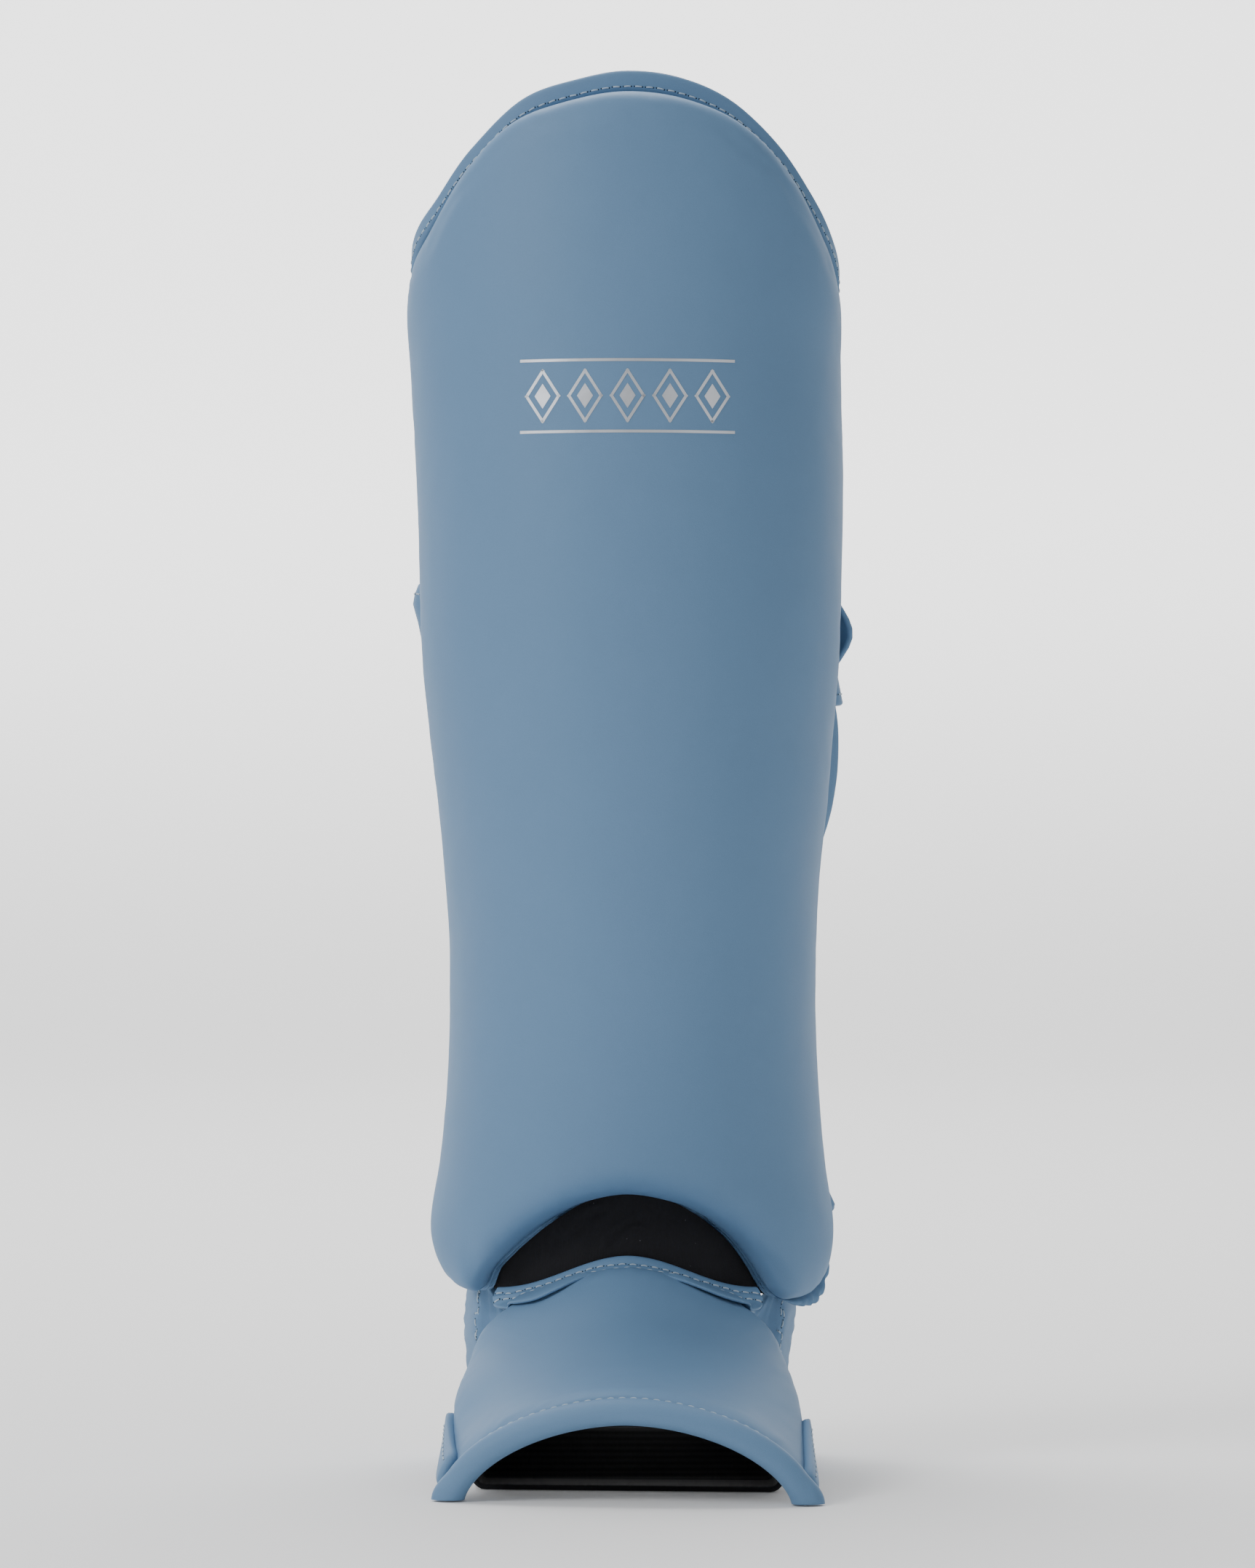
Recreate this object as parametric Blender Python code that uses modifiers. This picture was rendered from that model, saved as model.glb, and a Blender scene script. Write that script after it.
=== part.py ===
"""Shin and instep guard, standing upright: a foam shin pad on a sewn backing, with an arched
ankle cut-out, a saddle-shaped instep pad with a rolled front rim, side panels and straps.

Metres, +Z up. The front faces -Y, the leg runs up through the hollow and the foot comes out
under the instep pad. Each piece is an open grid bent over a named surface and given its wall
with Solidify, so pieces that lie on each other share that surface.
"""

import math
from collections import namedtuple

import bmesh
import bpy
from mathutils import Vector

# Heights above the floor and lengths
LOBE_BOTTOM = 0.0612
SHIN_HEIGHT = 0.4234
BACKING_HALF_WIDTH = 0.0722
BACKING_DEPTH = 0.060
DOME_DROP = 0.076
ARCH_RISE = 0.0375
INSTEP_REACH = 0.112
INSTEP_HALF_WIDTH = 0.0583
INSTEP_HEIGHT = 0.0725
RIM_TURN = 0.014

# Walls and edges
PAD_FRONT = 0.021
PAD_SIDE = 0.0075
PAD_EDGE_ROLL = 0.017
PAD_EDGE_SHARE = 0.42
BORDER_WALL = 0.0025
LINING_WALL = 0.0015
FLANGE = 0.0085
FLANGE_LEAN = 0.0015
ARCH_SEAM = 0.0008
LOBE_HEM = 0.003
LOBE_TURNS = (0.5, 0.8)
FLANGE_CORNER = 0.25
LINING_FOOT = 0.001
LINING_TURNS = (0.57, 0.68)
LINING_INSET_TURNS = (0.30, 0.44)
INSTEP_PAD = 0.0095
INSTEP_SIDE = 0.0055
INSTEP_EDGE_ROLL = 0.010
INSTEP_EDGE_SHARE = 0.5
BINDING_WALL = 0.004
BINDING_SHARE = 0.055
INSTEP_SIDE_POWER = 1.08
INSTEP_TOP_POWER = 1.15
INSTEP_ARC = 1.2
RIM_END = 0.97
RIM_RADIUS = 0.0042
TAB_WALL = 0.0016
SIDE_PANEL = 0.003
STRAP_WALL = 0.0022
ELASTIC_WALL = 0.0018
GAP = 0.0003

# Straps and ankle sides
CALF_STRAP_WIDTH = 0.042
UPPER_STRAP_HEIGHT = 0.271
LOWER_STRAP_HEIGHT = 0.150
CALF_DEPTH = 0.066
STRAP_BULGE = 0.0045
STRAP_CURL = 0.008
STRAP_CURL_AT = 0.6
STRAP_CURL_SPAN = 0.4
STRAP_END = 0.003
STRAP_CLEARANCE = 0.0006
FOOT_STRAP_TOP = 0.86
FOOT_STRAP_FLAT = 1 / 3
FOOT_STRAP_BEND = 0.005
FOOT_STRAP_FRONT = 0.72
FOOT_STRAP_REAR = 0.36
FOOT_STRAP_LEVEL = 0.5
FOOT_STRAP_RISE = 0.016
ANKLE_SIDE_TOP = 0.088
ANKLE_SIDE_FOOT = 0.0005
HEEL_DEPTH = 0.058
HEEL_STRAP_WIDTH = 0.046
HEEL_STRAP_BASE = 0.003

# Grid steps: rows and columns of the pads, straps and rim
SHIN_ROW_COUNT = 20
INSTEP_ROW_COUNT = 10
INSTEP_COLUMN_COUNT = 18
RIM_POINT_COUNT = 27
RIM_BEVEL_COUNT = 2
CALF_STRAP_ROW_COUNT = 5
FOOT_STRAP_ROW_COUNT = 4
HEEL_STRAP_ROW_COUNT = 3
TAB_COLUMNS = 4
TAB_ROWS = (2, 5)
ANKLE_SIDE_ROWS = (0, 0.25, 0.5, 0.72, 0.86, 1)
SURFACE_STEP = 0.004
EDGE_STEP = 0.02
INSTEP_NORMAL_END = 0.98

# Shin cross-sections, from the floor up. Heights are shares of SHIN_HEIGHT above the lobes'
# lowest point, half widths of BACKING_HALF_WIDTH, depth and back of BACKING_DEPTH. The flares
# are how far the flange leans out on each side, in shares of FLANGE.
Section = namedtuple("Section", "height left right depth back flare_left flare_right")
SHIN_SECTIONS = (
    Section(-0.150, 0.795, 0.800, 0.80, 0.00, 0.0, 0.0),
    Section(-0.055, 0.825, 0.830, 0.88, 0.00, 0.0, 0.0),
    Section(0.000, 0.880, 0.920, 0.90, 0.00, 0.0, 0.3),
    Section(0.045, 0.915, 0.950, 0.90, 0.00, 0.1, 0.9),
    Section(0.104, 0.857, 0.902, 0.90, 0.00, 0.0, 0.2),
    Section(0.166, 0.820, 0.868, 0.91, 0.00, 0.0, 0.0),
    Section(0.222, 0.802, 0.852, 0.92, 0.00, 0.0, 0.0),
    Section(0.290, 0.802, 0.857, 0.94, -0.01, 0.0, 0.0),
    Section(0.352, 0.830, 0.874, 0.96, -0.02, 0.0, 0.3),
    Section(0.413, 0.866, 0.914, 0.98, -0.03, 0.0, 0.8),
    Section(0.470, 0.905, 0.940, 0.99, -0.04, 0.0, 0.8),
    Section(0.537, 0.940, 0.968, 1.00, -0.05, 0.0, 0.1),
    Section(0.661, 0.964, 0.993, 1.00, -0.04, 0.0, 0.0),
    Section(0.784, 1.005, 0.985, 0.98, 0.00, 0.0, 0.0),
    Section(0.834, 1.030, 1.010, 0.96, 0.00, 0.0, 0.0),
    Section(0.880, 1.040, 1.020, 0.93, 0.01, 0.0, 0.0),
    Section(1.000, 1.015, 0.990, 0.86, 0.06, 0.0, 0.0),
    Section(1.040, 1.010, 0.990, 0.83, 0.08, 0.0, 0.0),
)

# Ends of the shin pad, by the share of the quarter turn from the crest to the side edge.
# The dome is in shares of DOME_DROP below the top, the arch of ARCH_RISE above the lobes. The
# row at a negative share mirrors the third, which makes the edges level at the crest.
Edge = namedtuple("Edge", "turn left right")
DOME_EDGE = (
    Edge(-0.16, 0.050, 0.040),
    Edge(0.00, 0.010, 0.010),
    Edge(0.16, 0.050, 0.040),
    Edge(0.33, 0.140, 0.142),
    Edge(0.50, 0.349, 0.342),
    Edge(0.66, 0.579, 0.592),
    Edge(0.80, 0.717, 0.789),
    Edge(0.92, 0.868, 0.974),
    Edge(1.00, 1.060, 1.150),
)
ARCH_EDGE = (
    Edge(-0.16, 0.885, 0.888),
    Edge(0.00, 0.985, 0.985),
    Edge(0.16, 0.885, 0.888),
    Edge(0.24, 0.762, 0.772),
    Edge(0.30, 0.655, 0.655),
    Edge(0.36, 0.534, 0.512),
    Edge(0.44, 0.370, 0.270),
    Edge(0.51, 0.225, 0.060),
    Edge(0.57, 0.040, -0.035),
    Edge(0.63, 0.045, -0.035),
    Edge(0.70, 0.093, -0.030),
    Edge(0.76, 0.155, 0.000),
    Edge(0.85, 0.320, 0.107),
    Edge(0.92, 0.507, 0.400),
    Edge(1.00, 0.780, 0.780),
)
SHIN_TURNS = (0, 0.08, 0.16, 0.24, 0.30, 0.37, 0.44, 0.51, 0.57, 0.68, 0.78, 0.86, 0.92, 0.965, 1)

# Instep sections from the ankle to the toes: run is the share of INSTEP_REACH, top of
# INSTEP_HEIGHT, half of INSTEP_HALF_WIDTH, skirt of INSTEP_HEIGHT (the pad's side edge), sweep
# of INSTEP_REACH (how far the sides lie behind the crown), bell how far the arch is bell-shaped.
Station = namedtuple("Station", "along run top half skirt sweep bell")
INSTEP_STATIONS = (
    Station(0.00, 0.00, 1.000, 0.770, 0.835, 0.115, 1.0),
    Station(0.15, 0.12, 0.850, 0.815, 0.700, 0.125, 0.6),
    Station(0.35, 0.30, 0.660, 0.885, 0.530, 0.120, 0.2),
    Station(0.60, 0.56, 0.510, 0.960, 0.370, 0.090, 0.0),
    Station(0.80, 0.78, 0.440, 0.965, 0.200, 0.065, 0.0),
    Station(1.00, 1.00, 0.405, 0.985, 0.010, 0.040, 0.0),
)

# Calf strap outline in plan behind the flange, in shares of the strap's half width there and
# of CALF_DEPTH
StrapPoint = namedtuple("StrapPoint", "side back")
CALF_PATH = (
    StrapPoint(0.990, 0.22),
    StrapPoint(0.930, 0.45),
    StrapPoint(0.790, 0.68),
    StrapPoint(0.560, 0.87),
    StrapPoint(0.290, 0.97),
    StrapPoint(0.000, 1.00),
)

# Ankle sides: the upper edge in shares of ANKLE_SIDE_TOP by turn, and the stations of the
# instep's side edge that their front tongue runs under
SideColumn = namedtuple("SideColumn", "turn top")
ANKLE_SIDE = (
    SideColumn(0.60, 0.60),
    SideColumn(0.69, 0.78),
    SideColumn(0.78, 0.98),
    SideColumn(0.92, 1.00),
    SideColumn(1.00, 0.96),
    SideColumn(1.12, 0.80),
    SideColumn(1.30, 0.58),
)
TONGUE_STATIONS = (0.34, 0.22, 0.10)
HEEL_TURNS = (1.16, 1.30, 1.45, 1.60, 1.80, 2.00)

Finish = namedtuple("Finish", "colour roughness")
BLUE_COVER = Finish((0.165, 0.262, 0.390), 0.5)
BLACK_LINING = Finish((0.012, 0.012, 0.014), 0.85)
BLACK_ELASTIC = Finish((0.008, 0.008, 0.009), 0.8)


def read(table, name, at):
    """A column of a table at a key between its rows, on a smooth curve through the rows."""
    keys = [row[0] for row in table]
    values = [getattr(row, name) for row in table]
    if at <= keys[0]:
        return values[0]
    if at >= keys[-1]:
        return values[-1]
    last = len(keys) - 1
    low = max(i for i in range(last) if keys[i] <= at)
    slopes = []
    for i in (low, low + 1):
        before, after = max(i - 1, 0), min(i + 1, last)
        slopes.append((values[after] - values[before]) / (keys[after] - keys[before]))
    step = keys[low + 1] - keys[low]
    t = (at - keys[low]) / step
    return (
        values[low] * (1 + 2 * t) * (1 - t) ** 2
        + slopes[0] * step * t * (1 - t) ** 2
        + values[low + 1] * t * t * (3 - 2 * t)
        + slopes[1] * step * t * t * (t - 1)
    )


def lean(turn, left, right):
    """The left value for a negative turn and the right one for a positive turn."""
    return left if turn < 0 else right


def shin_base(turn, height):
    """A point where the pad meets its backing. turn runs from -1 at the left side edge over 0
    at the crest to 1 at the right, and past 1 the surface runs straight back as the flange."""
    side = abs(turn)
    column = lean(turn, "left", "right")
    half = BACKING_HALF_WIDTH * read(SHIN_SECTIONS, column, height)
    depth = BACKING_DEPTH * read(SHIN_SECTIONS, "depth", height)
    back = BACKING_DEPTH * read(SHIN_SECTIONS, "back", height)
    angle = min(side, 1) * math.pi / 2
    beyond = max(side - 1, 0) * quarter_arc()
    flare = FLANGE_LEAN + FLANGE * read(SHIN_SECTIONS, "flare_" + column, height)
    x = half * math.sin(angle) + flare * beyond / FLANGE
    y = back - depth * math.cos(angle) + beyond
    return Vector((math.copysign(x, turn), y, LOBE_BOTTOM + height * SHIN_HEIGHT))


def quarter_arc():
    """The length of the section from the crest to the side edge, which a turn of 1 covers."""
    return math.pi / 4 * (BACKING_HALF_WIDTH + BACKING_DEPTH)


def outward(surface, u, v):
    """The direction that a surface faces, for u to the right and v upwards."""
    across = surface(u + SURFACE_STEP, v) - surface(u - SURFACE_STEP, v)
    up = surface(u, v + SURFACE_STEP) - surface(u, v - SURFACE_STEP)
    return across.cross(up).normalized()


def lifted(surface, u, v, lift):
    """A point of a surface, moved out along the surface's normal."""
    return surface(u, v) + outward(surface, u, v) * lift


def dome(turn):
    """Height share of the pad's top edge."""
    side = min(abs(turn), 1)
    return 1 - DOME_DROP / SHIN_HEIGHT * read(DOME_EDGE, lean(turn, "left", "right"), side)


def arch(turn):
    """Height share of the pad's lower edge."""
    side = min(abs(turn), 1)
    return ARCH_RISE / SHIN_HEIGHT * read(ARCH_EDGE, lean(turn, "left", "right"), side)


def rolled(distance, radius, edge_share):
    """Share of the wall that is left at a distance from a rounded edge."""
    run = min(max(distance, 0) / radius, 1)
    return edge_share + (1 - edge_share) * math.sqrt(1 - (1 - run) ** 2)


def edge_run(edge, turn, height):
    """Distance from a sloping end of the pad, measured square to it."""
    rise = (edge(turn + EDGE_STEP) - edge(turn - EDGE_STEP)) * SHIN_HEIGHT
    slope = rise / (2 * EDGE_STEP * quarter_arc())
    return abs(edge(turn) - height) * SHIN_HEIGHT / math.hypot(1, slope)


def shin_pad_wall(turn, height):
    """Share of PAD_FRONT that the pad is thick at a point."""
    around = math.sin(min(abs(turn), 1) * math.pi / 2) ** 2
    wall = (PAD_FRONT + (PAD_SIDE - PAD_FRONT) * around) / PAD_FRONT
    side_run = (1 - abs(turn)) * quarter_arc()
    rolls = [rolled(run, PAD_EDGE_ROLL, PAD_EDGE_SHARE) for run in (
        side_run, edge_run(dome, turn, height), edge_run(arch, turn, height))]
    return wall * rolls[0] * rolls[1] * rolls[2]


def instep_base(across, along):
    """A point where the instep pad meets its lining. across runs from -1 at the left side edge
    to 1 at the right, along from 0 at the ankle to 1 at the toes."""
    station = {
        name: read(INSTEP_STATIONS, name, along)
        for name in ("run", "top", "half", "skirt", "sweep", "bell")
    }
    angle = across * math.pi / 2
    side = math.sin(angle)
    half = INSTEP_HALF_WIDTH * station["half"]
    x = half * math.copysign(abs(side) ** INSTEP_SIDE_POWER, side)
    round_top = max(math.cos(angle), 0) ** INSTEP_TOP_POWER
    bell_top = 0.5 + 0.5 * math.cos(math.pi * side)
    rise = round_top + (bell_top - round_top) * station["bell"]
    z = INSTEP_HEIGHT * (station["skirt"] + (station["top"] - station["skirt"]) * rise)
    turn = RIM_TURN * side * station["run"] / 2
    y = instep_front() - INSTEP_REACH * (station["run"] - station["sweep"] * side * side) - turn
    return Vector((x, y, z))


def instep_point(across, along, lift):
    """A point of the instep surface moved out, away from the foot."""
    def risen(side, rise):
        return instep_base(side, -rise)

    inner = min(max(across, -INSTEP_NORMAL_END), INSTEP_NORMAL_END)
    return instep_base(across, along) + outward(risen, inner, -along) * lift


def instep_front():
    """Y of the instep's ankle edge: the leg lining's front there, with the instep lining's wall
    and the gaps before it."""
    height = (INSTEP_HEIGHT - LOBE_BOTTOM) / SHIN_HEIGHT
    depth = BACKING_DEPTH * read(SHIN_SECTIONS, "depth", height)
    return -(depth - BORDER_WALL - 2 * GAP) - LINING_WALL - 3 * GAP


def instep_pad_wall(across, along):
    """Share of INSTEP_PAD that the instep pad is thick at a point."""
    around = math.sin(min(abs(across), 1) * math.pi / 2) ** 2
    wall = (INSTEP_PAD + (INSTEP_SIDE - INSTEP_PAD) * around) / INSTEP_PAD
    side_run = (1 - abs(across)) * INSTEP_HALF_WIDTH * INSTEP_ARC
    end_run = (along - BINDING_SHARE) * INSTEP_REACH
    side = rolled(side_run, INSTEP_EDGE_ROLL, INSTEP_EDGE_SHARE)
    return wall * side * rolled(end_run, INSTEP_EDGE_ROLL, INSTEP_EDGE_SHARE)


def new_material(name, finish):
    """A principled material for one piece."""
    material = bpy.data.materials.new(name)
    material.use_nodes = True
    shader = material.node_tree.nodes["Principled BSDF"]
    shader.inputs["Base Color"].default_value = (*finish.colour, 1)
    shader.inputs["Roughness"].default_value = finish.roughness
    shader.inputs["Metallic"].default_value = 0
    return material


def add_object(name, data, finish):
    """Puts a mesh or curve in the guard's collection with a material of its own."""
    piece = bpy.data.objects.new(name, data)
    data.materials.append(new_material(name, finish))
    guard.objects.link(piece)
    return piece


def bent_grid(name, columns, rows, place):
    """A grid whose points lie at place(column, row) for the listed columns and rows. Its quads
    are all split the same way, so that layers on one grid stay a constant gap apart."""
    mesh = bpy.data.meshes.new(name)
    cage = bmesh.new()
    bmesh.ops.create_grid(
        cage, x_segments=len(columns) - 1, y_segments=len(rows) - 1, size=0.5
    )
    for vertex in cage.verts:
        vertex.co = place(*grid_place(vertex, columns, rows))
    bmesh.ops.triangulate(cage, faces=cage.faces, quad_method="FIXED")
    cage.to_mesh(mesh)
    cage.free()
    mesh.shade_smooth()
    return mesh


def grid_place(vertex, columns, rows):
    """The column and row values of a point of a plain grid of side 1."""
    column = columns[round((vertex.co.x + 0.5) * (len(columns) - 1))]
    row = rows[round((vertex.co.y + 0.5) * (len(rows) - 1))]
    return column, row


def add_sheet(name, columns, rows, place, wall, outward, finish, share=None):
    """A wall on a bent grid: outward 1 puts it outside the grid, -1 inside. share gives the
    part of the wall that is kept at a column and row."""
    piece = add_object(name, bent_grid(name, columns, rows, place), finish)
    solidify = piece.modifiers.new("Wall", "SOLIDIFY")
    solidify.thickness = wall
    solidify.offset = outward
    if share:
        group = piece.vertex_groups.new(name="Wall share")
        plain = bmesh.new()
        bmesh.ops.create_grid(
            plain, x_segments=len(columns) - 1, y_segments=len(rows) - 1, size=0.5
        )
        for vertex in plain.verts:
            column, row = grid_place(vertex, columns, rows)
            group.add([vertex.index], share(column, row), "REPLACE")
        plain.free()
        solidify.vertex_group = group.name
    return piece


def mix(first, second, t):
    return first + (second - first) * t


def ramp(value, low, high):
    """0 up to low, 1 from high on, and even between them."""
    return min(max((value - low) / (high - low), 0), 1)


def even(count, first=0.0, last=1.0):
    """Evenly spaced values from first to last, count steps of them."""
    return [mix(first, last, i / count) for i in range(count + 1)]


def eased(count, first=0.0, last=1.0):
    """Values from first to last that draw together at both ends, where the edges are round."""
    return [mix(first, last, 0.5 - 0.5 * math.cos(math.pi * t)) for t in even(count)]


def shin_height(turn, share):
    """Height at a share of the way from the pad's lower edge to its top edge."""
    return mix(arch(turn), dome(turn), share)


def add_shin_pad():
    def place(turn, share):
        return lifted(shin_base, turn, shin_height(turn, share), 0)

    def wall_share(turn, share):
        return shin_pad_wall(turn, shin_height(turn, share))

    turns = mirrored(SHIN_TURNS)
    add_sheet("shin_pad", turns, SHIN_ROWS, place, PAD_FRONT, 1, BLUE_COVER, wall_share)


def mirrored(turns):
    """The listed turns on both sides of the crest."""
    return [-turn for turn in reversed(turns[1:])] + list(turns)


def add_shin_border():
    """The backing. It follows the pad's rows and reaches past them: by the flange at the top
    and sides, less at the lobes, and by a narrow seam along the arch."""
    turns = mirrored((*SHIN_TURNS, 1 + FLANGE / quarter_arc()))

    def place(turn, share):
        lobe = ramp(abs(turn), *LOBE_TURNS)
        hem = mix(ARCH_SEAM, LOBE_HEM, lobe) if share < 0 else FLANGE
        hem *= FLANGE_CORNER if abs(turn) > 1 else 1
        height = shin_height(turn, min(max(share, 0), 1))
        height += hem / SHIN_HEIGHT * (min(share, 0) + max(share - 1, 0))
        return lifted(shin_base, turn, height, -GAP)

    rows = [-1, *SHIN_ROWS, 2]
    add_sheet("shin_border", turns, rows, place, BORDER_WALL, -1, BLUE_COVER)


def add_leg_lining():
    """The lining inside the backing, on the pad's rows. In the middle it runs on down, across
    the cut-out, to the instep; at the lobes its lowest rows draw together above their hem. It
    lies a little further in from the cut-out's flanks on."""
    def place(turn, share):
        lobe = ramp(abs(turn), *LINING_TURNS)
        foot = LINING_FOOT / SHIN_HEIGHT
        middle = shin_height(turn, share) if share >= 0 else mix(arch(turn), foot, -share)
        drawn = mix(SHIN_ROWS[2], SHIN_ROWS[3], max(share / SHIN_ROWS[3], 0))
        height = mix(middle, shin_height(turn, max(share, drawn)), lobe)
        inset = mix(2, 6, ramp(abs(turn), *LINING_INSET_TURNS)) * GAP
        return lifted(shin_base, turn, height, -(BORDER_WALL + inset))

    turns = mirrored(SHIN_TURNS[:-2])
    rows = [-1, -0.5, *SHIN_ROWS[:-1]]
    add_sheet("leg_lining", turns, rows, place, LINING_WALL, -1, BLACK_LINING)


def add_instep():
    """The instep's pad, the folded tape along its ankle edge and the lining under both."""
    def pad_place(across, along):
        return instep_point(across, along, 0)

    def lining_place(across, along):
        return instep_point(across, along, -GAP)

    add_sheet("instep_pad", INSTEP_COLUMNS, INSTEP_ROWS, pad_place,
              INSTEP_PAD, 1, BLUE_COVER, instep_pad_wall)
    add_sheet("instep_top_binding", INSTEP_COLUMNS, (BINDING_SHARE, 0), pad_place,
              BINDING_WALL, 1, BLUE_COVER)
    add_sheet("instep_lining", INSTEP_COLUMNS, [*INSTEP_ROWS, 0], lining_place,
              LINING_WALL, -1, BLACK_LINING)


def add_rim():
    """The rolled edge, a tube along the toe end at the middle of the pad's wall."""
    curve = bpy.data.curves.new("instep_rim", "CURVE")
    curve.dimensions = "3D"
    curve.bevel_depth = RIM_RADIUS
    curve.bevel_resolution = RIM_BEVEL_COUNT
    curve.use_fill_caps = True
    spline = curve.splines.new("POLY")
    spline.points.add(RIM_POINT_COUNT)
    for point, across in zip(spline.points, even(RIM_POINT_COUNT, RIM_END, -RIM_END)):
        centre = instep_point(across, 1, INSTEP_SIDE / 2)
        centre.y -= RIM_RADIUS + 2 * GAP
        centre.z = max(centre.z, RIM_RADIUS + 2 * GAP)
        point.co = (*centre, 1)
    add_object("instep_rim", curve, BLUE_COVER)


def ankle_base(turn, height):
    """The leg's outline round the ankle: the shin's section in front, an oval heel behind."""
    if abs(turn) <= 1:
        return shin_base(turn, height)
    edge = shin_base(math.copysign(1, turn), height)
    angle = turn * math.pi / 2
    y = edge.y - HEEL_DEPTH * math.cos(angle)
    return Vector((abs(edge.x) * math.sin(angle), y, edge.z))


def add_ankle_side(name, side):
    """A side panel from inside the lobe down to the floor, with a tongue that runs forward
    under the instep's side edge."""
    inset = -(BORDER_WALL + LINING_WALL + 7 * GAP)
    columns = [*range(-len(TONGUE_STATIONS), 0), *range(len(ANKLE_SIDE))]

    def place(column, share):
        if column < 0:
            edge = instep_base(side, TONGUE_STATIONS[column])
            top = edge.z - LINING_WALL - 4 * GAP
            return Vector((edge.x, edge.y, mix(ANKLE_SIDE_FOOT, top, share)))
        turn, top = ANKLE_SIDE[column]
        z = mix(ANKLE_SIDE_FOOT, ANKLE_SIDE_TOP * top, share)
        height = (z - LOBE_BOTTOM) / SHIN_HEIGHT
        return lifted(ankle_base, side * turn, height, inset)

    if side < 0:
        columns.reverse()
    add_sheet(name, columns, ANKLE_SIDE_ROWS, place, SIDE_PANEL, -1, BLUE_COVER)


def add_heel_strap():
    """Elastic from the inside of one ankle side round the back of the heel to the other."""
    inset = -(BORDER_WALL + LINING_WALL + SIDE_PANEL + 9 * GAP)
    turns = [*HEEL_TURNS, *(-turn for turn in reversed(HEEL_TURNS[:-1]))]

    def place(turn, share):
        z = HEEL_STRAP_BASE + HEEL_STRAP_WIDTH * share
        return lifted(ankle_base, turn, (z - LOBE_BOTTOM) / SHIN_HEIGHT, inset)

    rows = even(HEEL_STRAP_ROW_COUNT)
    add_sheet("heel_strap", turns, rows, place, ELASTIC_WALL, -1, BLACK_ELASTIC)


def add_foot_strap():
    """Elastic that comes down from inside the instep's side edges and runs under the sole. Its
    front half lies level on the floor, and its rear half rises towards the heel."""
    inset = -(LINING_WALL + 4 * GAP)

    def place(column, share):
        side, step = column
        along = mix(FOOT_STRAP_FRONT, FOOT_STRAP_REAR, share)
        edge = instep_point(side, along, inset)
        rise = FOOT_STRAP_RISE * ramp(share, FOOT_STRAP_LEVEL, 1)
        bend = Vector((-side * FOOT_STRAP_BEND, 0, -FOOT_STRAP_BEND))
        wall = Vector((edge.x, edge.y, FOOT_STRAP_BEND + rise))
        other = instep_point(-side, along, inset)
        points = (
            instep_point(FOOT_STRAP_TOP * side, along, inset),
            edge,
            wall,
            wall + Vector((bend.x * (1 - math.sqrt(0.5)), 0, bend.z * math.sqrt(0.5))),
            wall + bend,
            Vector((edge.x * FOOT_STRAP_FLAT, mix(edge.y, other.y, FOOT_STRAP_FLAT), rise)),
        )
        return points[step]

    steps = [(-1, step) for step in range(6)] + [(1, step) for step in reversed(range(6))]
    rows = even(FOOT_STRAP_ROW_COUNT, 1, 0)
    add_sheet("foot_strap", steps, rows, place, ELASTIC_WALL, -1, BLACK_ELASTIC)


def add_strap_tab(name, side):
    """The small tab sewn on the pad at a front corner, on the pad's own columns and rows."""
    def place(across, along):
        wall = INSTEP_PAD * instep_pad_wall(across, along)
        return instep_point(across, along, wall + 3 * GAP)

    columns = INSTEP_COLUMNS[-TAB_COLUMNS:] if side > 0 else INSTEP_COLUMNS[:TAB_COLUMNS]
    add_sheet(name, columns, INSTEP_ROWS[slice(*TAB_ROWS)], place, TAB_WALL, 1, BLUE_COVER)


def add_calf_strap(name, foot, bulge, curl):
    """A strap from the outside of one flange round the calf to the outside of the other. It may
    bulge where it leaves the left flange, and curl off the right one at its upper corner."""
    flange_turns = [1 + run / quarter_arc() for run in (STRAP_END, FLANGE)]

    def place(column, share):
        side, step = column
        z = foot + CALF_STRAP_WIDTH * share
        height = (z - LOBE_BOTTOM) / SHIN_HEIGHT
        if step == 0:
            near = max(0, 1 - abs(share - STRAP_CURL_AT) / STRAP_CURL_SPAN)
            lift = STRAP_CLEARANCE + (curl * near if side > 0 else 0)
            return lifted(shin_base, side * flange_turns[0], height, lift)
        edge = lifted(shin_base, side * flange_turns[1], height, STRAP_CLEARANCE)
        edge.x -= bulge if side < 0 else 0
        if step == 1:
            return edge
        point = CALF_PATH[step - 2]
        y = edge.y + (CALF_DEPTH - FLANGE) * point.back
        return Vector((edge.x * point.side, y, z))

    last = len(CALF_PATH) + 1
    columns = [(1, step) for step in range(last + 1)]
    columns += [(-1, step) for step in reversed(range(last))]
    rows = even(CALF_STRAP_ROW_COUNT)
    add_sheet(name, columns, rows, place, STRAP_WALL, 1, BLUE_COVER)


SHIN_ROWS = eased(SHIN_ROW_COUNT)
INSTEP_ROWS = eased(INSTEP_ROW_COUNT, 1, BINDING_SHARE + GAP / INSTEP_REACH)
INSTEP_COLUMNS = eased(INSTEP_COLUMN_COUNT, -1, 1)


def build():
    add_shin_pad()
    add_shin_border()
    add_leg_lining()
    add_instep()
    add_rim()
    add_foot_strap()
    add_heel_strap()
    for word, side in (("left", -1), ("right", 1)):
        add_ankle_side("ankle_side_" + word, side)
        add_strap_tab("foot_strap_tab_" + word, side)
    add_calf_strap("calf_strap_upper", UPPER_STRAP_HEIGHT, STRAP_BULGE, STRAP_CURL)
    add_calf_strap("calf_strap_lower", LOWER_STRAP_HEIGHT, 0, 0)


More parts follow.
